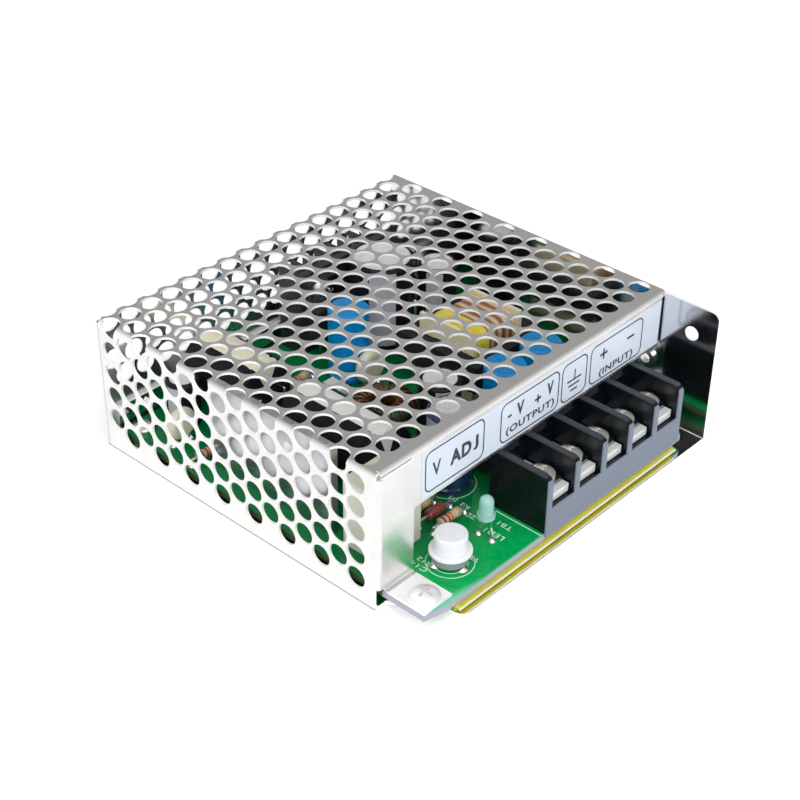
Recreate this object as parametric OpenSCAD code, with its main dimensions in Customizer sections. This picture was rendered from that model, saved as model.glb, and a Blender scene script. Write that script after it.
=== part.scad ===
// Enclosed DC-DC converter: a perforated folded cover over an L-shaped chassis.
// The circuit board reaches out of the front under a strip of the cover and carries
// a barrier terminal block, a trimmer knob and an indicator lamp.
// Millimetres, +Z up, terminal side towards -Y, origin at the centre of the base.

/* [Case] */
// Overall width, left wall to right wall
case_w = 97; // [87:0.5:115]
// Overall length, front edge to back wall
case_l = 100.6; // [89:0.1:115]
// Overall height
case_h = 34.5; // [31:0.5:45]
// Depth of the open terminal shelf in front of the cover's strip
shelf_l = 15.1; // [14:0.1:17]
// Thickness of the cover's sheet
cover_t = 0.6; // [0.5:0.1:1.0]
// Thickness of the chassis's sheet
chassis_t = 1.0; // [0.8:0.1:1.2]
// Inside radius of every fold
fold_r = 0.5; // [0.3:0.1:0.8]

/* [Cover] */
// Height of the front strip, from the top down
strip_h = 14.1; // [10:0.1:14.5]
// Gap between the strip's right end and the right wall
strip_gap = 0.5; // [0.2:0.1:2]
// Width of the corner flange beside the strip
flange_w = 10.5; // [9:0.1:12]
// Distance of the foot tab's left edge from the left wall's outer face
tab_inset = 2; // [1.5:0.1:3]
// Length of the foot tab in front of the flange
tab_l = 10.8; // [9:0.1:11]

/* [Perforation] */
// Diameter of the holes
hole_d = 5.1; // [3:0.1:5.2]
// Hole spacing along a row
hole_pitch = 6.05; // [5.9:0.05:8]
// Spacing of the rows
row_pitch = 5.03; // [5:0.01:7]
// First hole of an even row to the right edge
right_margin = 2.9; // [2.6:0.1:5]
// First full row to the back face
back_margin = 4.4; // [3:0.1:5]
// Lowest hole centre above the base on the left wall
wall_foot = 5.5; // [5:0.1:10]
// Lowest hole centre above the base on the back wall
back_foot = 11; // [11:0.1:14]
// Last row to the strip's outer face
front_margin = 5; // [4:0.1:8]
// Length that a fold adds to the two outer faces
fold_gain = 1.7; // [0:0.1:2.4]

/* [Chassis] */
// Diameter of the plain hole in the wall's front ear
ear_hole_d = 3.6; // [3:0.1:5]
// Ear hole's distance from the front edge
ear_hole_in = 6.6; // [4:0.1:8]
// Ear hole's height above the base
ear_hole_z = 27.1; // [22:0.1:28]
// Radius of the ear's top corner
ear_r = 1.8; // [0.5:0.1:4]
// Height of the rear lip that takes the cover screws
lip_h = 9.5; // [8.5:0.1:12]
// Width of the notch in the base's front left corner
notch_w = 10; // [9.5:0.1:14]
// Thread diameter of the case screws
case_screw_d = 3; // [2.5:0.1:3.5]
// Height of the clinch nuts in the right wall above the base
nut_z = 15.9; // [10:0.1:25]
// First clinch nut's distance from the front edge
nut_front = 17.8; // [16.5:0.1:25]
// Second clinch nut's distance from the back
nut_back = 20.8; // [15:0.1:30]

/* [Board] */
// Thickness of the circuit board
board_t = 1.6; // [1.2:0.1:1.8]
// Height of the board's underside above the base
board_z = 2.7; // [2.5:0.1:3.2]
// Gap between the board and the left wall's outer face
board_left = 2; // [1.5:0.1:3]
// Gap between the board and the right wall's outer face
board_right = 6.5; // [5:0.1:7]
// Gap between the board and the case's front edge
board_front = 2.4; // [1.5:0.1:3]
// Gap between the board and the case's back face
board_back = 2.4; // [2.2:0.1:3]
// Thickness of the insulating sheet
film_t = 0.4; // [0.2:0.05:0.5]
// Reach of the insulating sheet's front flap beyond the board's edge
film_flap = 1.25; // [0.4:0.05:1.8]

/* [Terminal block] */
// Spacing of the poles
pole_pitch = 9.5; // [9:0.1:9.6]
// Thickness of a barrier
barrier_t = 1.6; // [1.2:0.1:2]
// Depth of the block, front to back
block_d = 16; // [15:0.1:17]
// Height of the barriers above the board
barrier_h = 14.7; // [14:0.1:15]
// Height of the front lip above the board
block_lip_h = 6.1; // [5:0.1:6.5]
// Height of the contact plates' seat above the board
seat_h = 7.2; // [6.8:0.1:7.5]
// Gap between the block and the right wall's outer face
block_right = 8.9; // [8:0.1:10]
// Thread diameter of the terminal screws
terminal_screw_d = 3.5; // [3:0.1:4]
// Head diameter of the terminal screws
terminal_head_d = 6.6; // [6:0.1:7]
// Side of the square clamp washers
washer_w = 6.8; // [6:0.1:7]

/* [Trimmer and indicator] */
// Diameter of the trimmer's knob
knob_d = 7.2; // [6:0.1:8]
// Height of the trimmer's knob
knob_h = 4.2; // [3:0.1:6]
// Diameter of the trimmer's flange
trimmer_flange_d = 9.3; // [9:0.1:10]
// Height of the flange's top above the board
trimmer_flange_z = 3.7; // [3:0.1:5]
// Diameter of the indicator's lens
lens_d = 3.2; // [2.5:0.1:4]
// Height of the lens's flange above the board
lens_z = 5.5; // [2:0.1:6]

/* [Hidden] */
poles = 5;
$fn = 48;

// Fits: gap between pieces that only lie together, radial play of screws and pins, cutting overrun
seat_gap = 0.05;
fit = 0.05;
lap_gap = 0.1;
over = 0.5;

// Folds of the cover
fold_out = fold_r + cover_t;
strip_y = shelf_l;
strip_left = fold_out + 0.3;
strip_right = case_w - chassis_t - strip_gap;
flange_y = strip_y - cover_t - lap_gap;
flange_top = case_h - fold_out - lap_gap;
tab_at = [tab_inset + 4, flange_y - 7.4];

// Hole pattern: rows count from the back fold, row 0 lies on the fold
first_row_y = case_l - back_margin;
rows_back = floor((case_h - back_foot + row_pitch - back_margin - fold_gain) / row_pitch);
rows_top = floor((first_row_y - strip_y - front_margin) / row_pitch) + 1;
holes_in_row = ceil((case_w + case_h) / hole_pitch);
function row_y(r) = first_row_y - (r - 1) * row_pitch;
function hole_x(r, i) = case_w - right_margin - (i + abs(r % 2) / 2) * hole_pitch;
function wall_z(x) = case_h - fold_gain + x;

// Board and what stands on it
board_top = board_z + board_t;
board_w = case_w - board_left - board_right;
board_l = case_l - board_front - board_back;
tail = 0.9;
pin_r = 0.35;
pin_hole_r = pin_r + 0.1;
case_screw_r = case_screw_d / 2;
spacer_r = 3;
screw_head_r = 2.8;
screw_head_h = 1.8;
corner_cut = [6, 1.3];
corner_r = 1.5;
film_left = notch_w + 0.2;
film_right = case_w - 10.7;
film_front = max(board_front - film_flap, 0.2);
film_top = board_z - seat_gap;
film_drop = 0.35;

// Folded chassis: fold's outer radius, left edge and notch of the base
fold_c = fold_r + chassis_t;
base_left = cover_t + seat_gap;
notch_l = flange_y + cover_t;
base_r = 2.6;

// Rear lip and its screws
lip_y = case_l - cover_t - seat_gap;
lip_left = base_left + 2;
lip_right = case_w - fold_c - 2;
lip_screw_in = 12;
lip_screw_x = [lip_screw_in, case_w - lip_screw_in];
lip_screw_z = board_top + 2.2;
lip_screw_l = 2.6;
sunk_head_r = 2.7;

// Tongue of the base under the board's front left corner
tongue_left = tab_inset + 0.8;
tongue_front = 5;
tongue_gap = 1;
jog_l = 3;

// Clinch nuts
nut_seat_r = 2.1;
nut_body_r = 2.4;
nut_body_l = 0.8;

// Terminal block
block_w = poles * pole_pitch + barrier_t;
block_over = 0.35;
block_skirt = 0.8;
block_at = [case_w - block_right - block_w, board_front - block_over];
spacer_at = [
    [board_left + 4, case_l - board_back - 4],
    [case_w - board_right - 4, case_l - board_back - 4],
    [case_w - board_right - 4, block_at[1] + block_d + screw_head_r + 0.5]
];
barrier_r = 2;
plate_t = 1;
plate_w = pole_pitch - barrier_t - 0.9;
plate_front = 1.5;
plate_end_t = 1;
plate_back = 13.6;
lip_t = 1.2;
gutter_h = 3.8;
gutter_back = plate_front + plate_end_t + 0.1;
back_wall_t = 2;
back_wall_h = 13;
screw_y = 6.6;
plate_pin_y = 12.2;
plate_pin_r = 0.65;
washer_t = 0.9;
washer_z = seat_h + plate_t + seat_gap;
head_z = washer_z + washer_t + seat_gap;
terminal_head_h = 2.2;
shank_l = 8;
function pole_x(k) = barrier_t / 2 + (k - 0.5) * pole_pitch;

// Trimmer and indicator: share of the way from the left wall to the block
trimmer_share = 0.4692;
lens_share = 0.759;
trimmer_at = [block_at[0] * trimmer_share, 11];
trimmer_pin_r = 3.3;
trimmer_flange_t = 0.5;
trimmer_body_d = 7.6;
trimmer_body_z = 0.9;
spindle_r = 1.5;
bore_floor = trimmer_body_z + 0.5;
lens_at = [block_at[0] * lens_share, 11];
lens_flange_d = lens_d + 0.8;
lens_flange_t = 1;
lens_l = 5.6;
lead_pitch = 2.54;
lead_spread = 3.8;

// Component layout: a grid of columns and rows that stretches with the room inside the cover
layout_columns = 97;
layout_rows = 85.5;
layout_levels = 34.5;
column = case_w / layout_columns;
row = (case_l - shelf_l) / layout_rows;
level = case_h / layout_levels;
unit = min(column, row);
function row_at(n) = shelf_l + n * row;
function spot(c, r) = [c * column, row_at(r)];
function standing(list) = [for (c = list) [c[0] * column, row_at(c[1]), c[2] * unit, c[3] * level]];

// Axial parts: centre of the body and half of the lead spacing
resistor_at = [spot(26, 11.7), spot(28, 4.7), spot(43, 66.2), spot(8.7, 60.2)];
diode_at = spot(27.4, 8.3);
axial_z = board_top + 1.6;
axial_reach = 5.08;
resistor_l = 6.3;
resistor_r = 1.15;
diode_l = 5;
diode_r = 1.3;

// Capacitors: place, diameter and height
can_list = standing([[72, 65.7, 16, 24], [84.5, 58.7, 10, 20], [50.6, 27.7, 10, 16], [14.5, 74.7, 8, 12]]);
blue_list = standing([[55, 60.7, 10, 19], [63, 18.9, 10, 18], [76, 18.9, 10, 18]]);
corner_can = standing([[38.9, 14.3, 11, 20]])[0];
standing_list = concat(can_list, blue_list, [corner_can]);
sleeve_lip = 1;
top_drop = 0.4;
lying_d = 16 * unit;
lying_x = 28 * column;
lying_z = board_top + lying_d / 2;
rear_cap = [row_at(60.7), 21.2 * row];
front_cap = [row_at(22.7), 27 * row];
lying_pitch = 7.5;
lying_lead = 1.6;
film_size = [12.7 * unit, 11 * unit, 17 * level];
film_at = spot(7.5, 5.7);
film_pitch = 7.5;
disc_list = standing([[55, 53.5, 9, 0], [8.5, 68.9, 8, 0]]);
disc_t = 3;
disc_lift = 1.2;

// Transformer, with its winding along X
trafo_at = spot(74, 38.7);
core_l = 25 * unit;
core_w = 25 * unit;
core_t = 7 * unit;
leg_t = 3.2 * unit;
yoke_t = 3.6 * unit;
core_pole = 7 * unit;
core_play = 0.1;
bobbin_l = core_l - 2 * yoke_t - 0.4;
bobbin_wall = 0.8;
bobbin_tube = core_pole + 2 * core_play + 2 * bobbin_wall;
bobbin_flange = core_w - 2 * leg_t - 1.6;
bobbin_flange_t = 1;
winding_w = bobbin_flange - 1.6;
winding_r = 3;
tape_t = 0.4;
tape_l = 5;
rail_w = 5 * unit;
rail_gap = 1.7;
rail_lap = 0.3;
rail_end = 2;
core_z = board_top + rail_gap + bobbin_flange / 2;
trafo_pin_pitch = 3.2 * unit;
trafo_pin_in = 2.2;

// Choke: ring core with a round section and one layer of turns
choke_at = spot(47.5, 42.7);
choke_r = 5.5 * unit;
choke_core_r = 2.2 * unit;
choke_wire_r = 0.33 * unit;
choke_turns = 20;
choke_lift = choke_core_r + 2 * choke_wire_r;

// Heatsinks and power devices
side_sink_x = 7.6 * column;
side_sink_t = 2;
side_sink_y = [row_at(20), row_at(57.5)];
side_sink_h = 22.7 * level;
rear_sink_clear = 1.2;
rear_sink_x = [53 * column, spacer_at[1][0] - screw_head_r - rear_sink_clear];
rear_sink_y = row_at(74.7);
rear_sink_t = 2;
rear_sink_fin = case_l - board_back - 0.8 - rear_sink_y - rear_sink_t;
rear_sink_h = 22 * level;
sink_pin_r = 0.7;
device_w = 10;
device_h = 9.2;
device_t = 4.4 * unit;
device_tab_t = 1.3;
device_tab_h = 15.5;
device_lift = 4 * level;
device_leg_out = 2.4;
device_hole_z = 12.7;
switch_y = row_at(32.7);
rectifier_x = 59.5 * column;

// Small integrated parts and the fuse
chip_at = spot(51.2, 12.7);
chip_size = [9.8, 6.4, 3.4];
opto_at = spot(44, 55.7);
opto_size = [6.2, 6.4, 3.4];
chip_lift = 0.6;
leg_pitch = 2.54;
leg_span = 7.62;
fuse_at = spot(76, 10.5);
fuse_l = 15;
fuse_r = 2.4;
fuse_wall = 0.3;
fuse_end = 0.5;
fuse_cap_l = 3.5;
fuse_lead = 2;
fuse_z = board_top + fuse_r + 0.6;
label_t = 0.1;

// Moves the corner frame (left wall, front edge, base) to the centre of the base
module in_case() {
    translate([-case_w / 2, -case_l / 2, 0])
        children();
}

// Same, for pieces that stand on the board's top
module on_board(at) {
    in_case()
        translate([at[0], at[1], board_top])
            children();
}

// Quarter of a folded sheet, from +X to +Y about the Z axis
module fold(inner, sheet, length) {
    rotate_extrude(angle = 90)
        translate([inner, 0])
            square([sheet, length]);
}

// Profile in Y and Z, drawn out along X
module along_x(length) {
    rotate([90, 0, 90])
        linear_extrude(length)
            children();
}

// Profile in X and Z, drawn out along Y
module along_y(length) {
    translate([0, length, 0])
        rotate([90, 0, 0])
            linear_extrude(length)
                children();
}

// Pan head with a shallow dome
module pan_head(r, h) {
    dome = r * 1.6;
    rotate_extrude()
        intersection() {
            square([r, h]);
            translate([0, h - dome])
                circle(dome, $fn = 96);
        }
}

// Cross recess, cut down from the top of a head
module cross_recess(span, slot, depth) {
    for (turn = [0, 90])
        rotate(turn)
            translate([-span / 2, -slot / 2, -depth])
                cube([span, slot, depth + over]);
}

// Screw with its head's seat at z = 0 and its shank below
module pan_screw(shank_r, length, head_r, head_h) {
    difference() {
        union() {
            pan_head(head_r, head_h);
            translate([0, 0, -length])
                cylinder(r = shank_r, h = length + head_h / 4);
        }
        translate([0, 0, head_h])
            cross_recess(head_r * 1.2, head_r * 0.25, head_h * 0.55);
    }
}

// Countersunk screw along -Y with its head flush at y = 0; also the seat it is cut for, with play
module sunk_screw(length, play) {
    head_l = sunk_head_r - case_screw_r;
    rotate([90, 0, 0]) {
        cylinder(r1 = sunk_head_r + play, r2 = case_screw_r + play, h = head_l);
        cylinder(r = case_screw_r + play, h = length);
    }
}

module sunk_seat(play) {
    sunk_screw(lip_screw_l + over, play);
    rotate([-90, 0, 0])
        cylinder(r = sunk_head_r + play, h = over);
}

// Flat panels and folds of the cover, before any hole
module cover_sheet() {
    // top panel
    translate([fold_out, strip_y + fold_out, case_h - cover_t])
        cube([case_w - fold_out, case_l - strip_y - 2 * fold_out, cover_t]);
    // left fold and left wall
    translate([fold_out, flange_y + fold_out, case_h - fold_out])
        rotate([-90, -90, 0])
            mirror([0, 1, 0])
                fold(fold_r, cover_t, case_l - flange_y - 2 * fold_out);
    translate([0, flange_y + fold_out, 0])
        cube([cover_t, case_l - flange_y - fold_out - cover_t - lap_gap, case_h - fold_out]);
    // back fold and back wall
    translate([fold_out, case_l - fold_out, case_h - fold_out])
        rotate([90, 0, 90])
            fold(fold_r, cover_t, case_w - fold_out);
    translate([0, case_l - cover_t, 0])
        cube([case_w, cover_t, case_h - fold_out]);
    // front fold and strip
    translate([strip_left, strip_y + fold_out, case_h - fold_out])
        rotate([90, 0, 90])
            rotate(90)
                fold(fold_r, cover_t, case_w - strip_left);
    translate([strip_left, strip_y, case_h - strip_h])
        cube([strip_right - strip_left, cover_t, strip_h - fold_out]);
    // corner flange, folded from the left wall
    translate([fold_out, flange_y + fold_out, board_top + fold_out])
        rotate(180)
            fold(fold_r, cover_t, flange_top - board_top - fold_out);
    translate([fold_out, flange_y, board_top + fold_out])
        cube([flange_w - fold_out, cover_t, flange_top - board_top - fold_out]);
    // foot tab, folded forward from the flange
    translate([tab_inset, flange_y - fold_r, board_top + fold_out])
        rotate([90, 0, 90])
            rotate(-90)
                fold(fold_r, cover_t, flange_w - tab_inset);
    translate([tab_inset, flange_y - tab_l, board_top])
        cube([flange_w - tab_inset, tab_l - fold_r, cover_t]);
}

// Staggered drills; a hole on a fold is drilled from both faces
module perforation() {
    reach = hole_d / 2;
    for (r = [-rows_back + 1 : rows_top])
        for (i = [0 : holes_in_row]) {
            x = hole_x(r, i);
            y = row_y(r);
            if (x > -reach && y < case_l + reach)
                translate([x, y, case_h - fold_out])
                    cylinder(d = hole_d, h = fold_out + over);
            if (x < reach && y < case_l - reach && wall_z(x) > wall_foot)
                translate([-over, y, wall_z(x)])
                    rotate([0, 90, 0])
                        cylinder(d = hole_d, h = fold_out + over);
            if (x > reach && y > case_l - reach)
                translate([x, case_l + over, wall_z(case_l - y)])
                    rotate([90, 0, 0])
                        cylinder(d = hole_d, h = fold_out + over);
        }
}

module cover() {
    color("gainsboro")
        in_case()
            difference() {
                cover_sheet();
                perforation();
                translate([tab_at[0], tab_at[1], board_top - over])
                    cylinder(r = case_screw_r + 0.1, h = cover_t + 2 * over);
                for (x = lip_screw_x)
                    translate([x, case_l, lip_screw_z])
                        sunk_seat(fit);
            }
}

// Right wall's outline in Y and Z: low under the cover and its front fold, with a round-cornered ear
module wall_outline() {
    ear_end = strip_y - lap_gap;
    cover_start = strip_y + fold_out + lap_gap;
    cover_h = case_h - cover_t - seat_gap;
    rear_r = fold_r + lap_gap;
    translate([0, fold_c])
        square([lip_y, case_h - fold_out - lap_gap - fold_c]);
    translate([cover_start, fold_c])
        square([lip_y - rear_r - cover_start, cover_h - fold_c]);
    translate([lip_y - rear_r, cover_h - rear_r])
        circle(rear_r);
    translate([ear_r, fold_c])
        square([ear_end - ear_r, case_h - fold_c]);
    translate([0, fold_c])
        square([ear_end, case_h - ear_r - fold_c]);
    translate([ear_r, case_h - ear_r])
        circle(ear_r);
}

// Tongue's side view: level with the base behind, jogged up to the board in front
module tongue_outline(back) {
    rise = board_z - chassis_t;
    slope = chassis_t * 0.3;
    polygon([
        [tongue_front, rise],
        [back - jog_l, rise],
        [back, 0],
        [back + jog_l, 0],
        [back + jog_l, chassis_t],
        [back + slope, chassis_t],
        [back - jog_l + slope, rise + chassis_t],
        [tongue_front, rise + chassis_t]
    ]);
}

// Front part of the base beside the notch, with a rounded corner
module base_front_outline() {
    translate([notch_w + base_r, 0])
        square([case_w - fold_c - notch_w - base_r, notch_l + over]);
    translate([notch_w, base_r])
        square([case_w - fold_c - notch_w, notch_l + over - base_r]);
    translate([notch_w + base_r, base_r])
        circle(base_r);
}

// Base with its notched front left corner, and the tongue under the board's corner
module chassis_base() {
    color("silver")
        in_case()
            difference() {
                union() {
                    translate([base_left, notch_l, 0])
                        cube([case_w - fold_c - base_left, lip_y - fold_c - notch_l, chassis_t]);
                    linear_extrude(chassis_t)
                        base_front_outline();
                    translate([tongue_left, 0, 0])
                        along_x(notch_w - tongue_gap - tongue_left)
                            tongue_outline(notch_l);
                }
                for (at = spacer_at)
                    translate([at[0], at[1], -over])
                        cylinder(r = case_screw_r + fit, h = chassis_t + 2 * over);
                translate([tab_at[0], tab_at[1], -over])
                    cylinder(r = case_screw_r + fit, h = board_z + 2 * over);
            }
}

// Right wall and the fold that joins it to the base
module chassis_wall() {
    color("silver")
        in_case()
            difference() {
                union() {
                    translate([case_w - fold_c, 0, fold_c])
                        rotate([-90, 0, 0])
                            fold(fold_r, chassis_t, lip_y);
                    translate([case_w - chassis_t, 0, 0])
                        along_x(chassis_t)
                            wall_outline();
                }
                translate([case_w - chassis_t - over, ear_hole_in, ear_hole_z])
                    rotate([0, 90, 0])
                        cylinder(d = ear_hole_d, h = chassis_t + 2 * over);
                for (y = [nut_front, case_l - nut_back])
                    translate([case_w - chassis_t - over, y, nut_z])
                        rotate([0, 90, 0])
                            cylinder(r = nut_seat_r, h = chassis_t + 2 * over);
            }
}

// Rear lip and the fold that joins it to the base
module chassis_lip() {
    color("silver")
        in_case()
            difference() {
                union() {
                    translate([lip_left, lip_y - fold_c, fold_c])
                        rotate([0, 90, 0])
                            fold(fold_r, chassis_t, lip_right - lip_left);
                    translate([lip_left, lip_y - chassis_t, fold_c])
                        cube([lip_right - lip_left, chassis_t, lip_h - fold_c]);
                }
                for (x = lip_screw_x)
                    translate([x, case_l, lip_screw_z])
                        sunk_seat(fit);
            }
}

// Clinch nuts: a shank flush in the wall and a round body inside it
module clinch_nuts() {
    color("white")
        in_case()
            for (y = [nut_front, case_l - nut_back])
                translate([case_w - chassis_t - nut_body_l, y, nut_z])
                    rotate([0, 90, 0])
                        difference() {
                            union() {
                                cylinder(r = nut_body_r, h = nut_body_l);
                                cylinder(r = nut_seat_r - fit, h = nut_body_l + chassis_t);
                            }
                            translate([0, 0, -over])
                                cylinder(d = case_screw_d - 0.5, h = nut_body_l + chassis_t + 2 * over);
                        }
}

// Printed label on the strip
module legend_label() {
    label_margin = 0.8;
    label_left = flange_w + 2.8;
    label_right = strip_right - 0.3;
    color("aliceblue")
        in_case()
            translate([label_left, strip_y - label_t, case_h - strip_h + label_margin])
                cube([label_right - label_left, label_t, strip_h - fold_out - 2 * label_margin]);
}

// Side view of the insulating sheet: flat on the base, up to the board's edge, then out and down
module film_outline() {
    back = case_l - board_back;
    polygon([
        [film_front, film_top - film_drop],
        [board_front, film_top],
        [board_front + film_t, film_top],
        [board_front + film_t, chassis_t + film_t],
        [back, chassis_t + film_t],
        [back, chassis_t],
        [board_front, chassis_t],
        [board_front, film_top - film_t],
        [film_front, film_top - film_drop - film_t]
    ]);
}

module insulating_sheet() {
    color("khaki")
        in_case()
            difference() {
                translate([film_left, 0, 0])
                    along_x(film_right - film_left)
                        film_outline();
                for (at = spacer_at)
                    translate([at[0], at[1], 0])
                        cylinder(r = spacer_r + 0.3, h = board_z);
            }
}

module cover_screws() {
    color("silver")
        in_case()
            for (x = lip_screw_x)
                translate([x, case_l, lip_screw_z])
                    difference() {
                        sunk_screw(lip_screw_l, 0);
                        rotate([-90, 0, 0])
                            cross_recess(sunk_head_r * 1.2, sunk_head_r * 0.25, 0.8);
                    }
}

module tab_screw() {
    color("silver")
        on_board(tab_at)
            translate([0, 0, cover_t])
                pan_screw(case_screw_r, board_top + cover_t - 0.5, screw_head_r + 0.4, screw_head_h);
}

module board_spacers() {
    color("silver")
        in_case()
            for (at = spacer_at)
                translate([at[0], at[1], chassis_t])
                    difference() {
                        cylinder(r = spacer_r, h = board_z - chassis_t);
                        translate([0, 0, -over])
                            cylinder(r = case_screw_r + fit, h = board_z);
                    }
}

module board_screws() {
    color("silver")
        for (at = spacer_at)
            on_board(at)
                pan_screw(case_screw_r, board_top - 0.3, screw_head_r, screw_head_h);
}

// Ends of every lead that goes through the board
axial_list = concat(resistor_at, [diode_at, fuse_at]);
function axial_half(k) = k < len(resistor_at) + 1 ? axial_reach : fuse_l / 2 + fuse_lead;
function can_pitch(d) = d > 12 ? 7.5 : d > 9 ? 5 : 3.5;
function two_pins(at, half) = [[at[0] - half, at[1]], [at[0] + half, at[1]]];
function device_pins() = [
    for (k = [-1, 0, 1]) [side_sink_x + side_sink_t + device_leg_out, switch_y + k * leg_pitch],
    for (k = [-1, 0, 1]) [rectifier_x + k * leg_pitch, rear_sink_y - device_leg_out]
];
function chip_pins(at, count) = [
    for (k = [0 : count - 1])
        for (side = [-1, 1])
            [at[0] + (k - (count - 1) / 2) * leg_pitch, at[1] + side * leg_span / 2]
];
function trafo_pins() = [
    for (side = [-1, 1])
        for (k = [-2 : 2])
            [trafo_at[0] + side * (bobbin_l / 2 - trafo_pin_in), trafo_at[1] + k * trafo_pin_pitch]
];
function trimmer_pins_at() = [
    for (a = [30, 150, 270])
        [trimmer_at[0] + trimmer_pin_r * cos(a), trimmer_at[1] + trimmer_pin_r * sin(a)]
];
function lens_pins() = [
    for (side = [-1, 1])
        [lens_at[0], lens_at[1] + side * lead_spread / 2]
];
function lying_pins() = concat(
    two_pins([lying_x, front_cap[0] - lying_lead], lying_pitch / 2),
    two_pins([lying_x, rear_cap[0] - lying_lead], lying_pitch / 2)
);
function film_pins() = two_pins(film_at + [film_size[0], film_size[1]] / 2, film_pitch / 2);
function choke_pins() = two_pins(choke_at, choke_r + choke_core_r + choke_wire_r);
function sink_pins() = concat(
    [for (y = side_sink_y) [side_sink_x + side_sink_t / 2, y + sign(y - switch_y) * -4]],
    [for (x = rear_sink_x) [x + sign(x - rectifier_x) * -1, rear_sink_y + rear_sink_t / 2]]
);
lead_holes = concat(
    [for (k = [0 : len(axial_list) - 1]) each two_pins(axial_list[k], axial_half(k))],
    [for (c = standing_list) each two_pins(c, can_pitch(c[2]) / 2)],
    [for (c = disc_list) each two_pins(c, leg_pitch)],
    film_pins(),
    device_pins(), chip_pins(chip_at, 4), chip_pins(opto_at, 2), trafo_pins(),
    trimmer_pins_at(), lens_pins(), lying_pins(), choke_pins()
);

// Board's outline, with a cut front left corner and a rounded front right one
module board_outline() {
    polygon([
        [0, corner_cut[1]],
        [corner_cut[0], 0],
        [board_w - corner_r, 0],
        [board_w - corner_r, corner_r],
        [board_w, corner_r],
        [board_w, board_l],
        [0, board_l]
    ]);
    translate([board_w - corner_r, corner_r])
        circle(corner_r);
}

module circuit_board() {
    color("seagreen")
        in_case()
            difference() {
                translate([board_left, board_front, board_z])
                    linear_extrude(board_t)
                        board_outline();
                for (at = concat(spacer_at, [tab_at]))
                    translate([at[0], at[1], board_z - over])
                        cylinder(r = case_screw_r + 0.1, h = board_t + 2 * over);
                for (at = lead_holes)
                    translate([at[0], at[1], board_z - over])
                        cylinder(r = pin_hole_r, h = board_t + 2 * over);
                for (k = [1 : poles])
                    translate([block_at[0] + pole_x(k), block_at[1] + plate_pin_y, board_z - over])
                        cylinder(r = plate_pin_r + fit, h = board_t + 2 * over);
                for (at = sink_pins())
                    translate([at[0], at[1], board_z - over])
                        cylinder(r = sink_pin_r + fit, h = board_t + 2 * over);
            }
}

// Side view of one barrier, with its rounded top front corner
module barrier_outline() {
    square([block_d, barrier_h - barrier_r]);
    translate([barrier_r, 0])
        square([block_d - barrier_r, barrier_h]);
    translate([barrier_r, barrier_h - barrier_r])
        circle(barrier_r);
}

// Side view of a bay: skirt over the board's edge, front lip, gutter, seat of the contact plate, back wall
module bay_outline() {
    skirt_t = block_over - seat_gap;
    polygon([
        [0, -block_skirt],
        [skirt_t, -block_skirt],
        [skirt_t, 0],
        [block_d, 0],
        [block_d, back_wall_h],
        [block_d - back_wall_t, back_wall_h],
        [block_d - back_wall_t, seat_h],
        [gutter_back, seat_h],
        [gutter_back, gutter_h],
        [lip_t, gutter_h],
        [lip_t, block_lip_h],
        [0, block_lip_h]
    ]);
}

module terminal_block() {
    well_floor = 0.6;
    notch_r = 0.45;
    color("#22262b")
        on_board(block_at)
            difference() {
                union() {
                    along_x(block_w)
                        bay_outline();
                    for (k = [0 : poles])
                        translate([k * pole_pitch, 0, 0])
                            along_x(barrier_t)
                                barrier_outline();
                }
                for (k = [1 : poles])
                    translate([pole_x(k), 0, 0]) {
                        translate([0, screw_y, well_floor])
                            cylinder(r = terminal_screw_d / 2 + 0.3, h = seat_h);
                        translate([0, plate_pin_y, -over])
                            cylinder(r = plate_pin_r + fit, h = seat_h + 2 * over);
                    }
                for (k = [1 : poles])
                    translate([k * pole_pitch, -over, -block_skirt])
                        rotate([-90, 0, 0])
                            cylinder(r = notch_r, h = lip_t);
            }
}

// Contact plates, with a front end turned down and a pin through the board
module contact_plates() {
    color("whitesmoke")
        on_board(block_at)
            for (k = [1 : poles])
                translate([pole_x(k), 0, 0])
                    difference() {
                        union() {
                            translate([-plate_w / 2, plate_front, seat_h])
                                cube([plate_w, plate_back - plate_front, plate_t]);
                            translate([-plate_w / 2, plate_front, seat_h - plate_t])
                                cube([plate_w, plate_end_t, plate_t]);
                            translate([0, plate_pin_y, -board_t - tail])
                                cylinder(r = plate_pin_r, h = seat_h + board_t + tail);
                        }
                        translate([0, screw_y, seat_h - over])
                            cylinder(r = terminal_screw_d / 2 + fit, h = plate_t + 2 * over);
                    }
}

module clamp_washer(k) {
    color("lightgray")
        on_board(block_at)
            translate([pole_x(k), screw_y, washer_z])
                difference() {
                    translate([-washer_w / 2, -washer_w / 2, 0])
                        cube([washer_w, washer_w, washer_t]);
                    translate([0, 0, -over])
                        cylinder(r = terminal_screw_d / 2 + fit, h = washer_t + 2 * over);
                }
}

module terminal_screw(k) {
    color("silver")
        on_board(block_at)
            translate([pole_x(k), screw_y, head_z])
                pan_screw(terminal_screw_d / 2, shank_l, terminal_head_d / 2, terminal_head_h);
}

// Trimmer: a flanged body on three pins, with a bore for the knob's spindle
module trimmer_base() {
    color("ivory")
        on_board(trimmer_at)
            difference() {
                union() {
                    translate([0, 0, trimmer_body_z])
                        cylinder(d = trimmer_body_d, h = trimmer_flange_z - trimmer_body_z);
                    translate([0, 0, trimmer_flange_z - trimmer_flange_t])
                        cylinder(d = trimmer_flange_d, h = trimmer_flange_t);
                }
                translate([0, 0, bore_floor])
                    cylinder(r = spindle_r + fit, h = trimmer_flange_z);
            }
}

module trimmer_pins() {
    color("silver")
        in_case()
            for (at = trimmer_pins_at())
                translate([at[0], at[1], board_z - tail])
                    cylinder(r = pin_r, h = board_t + tail + trimmer_body_z);
}

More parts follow.
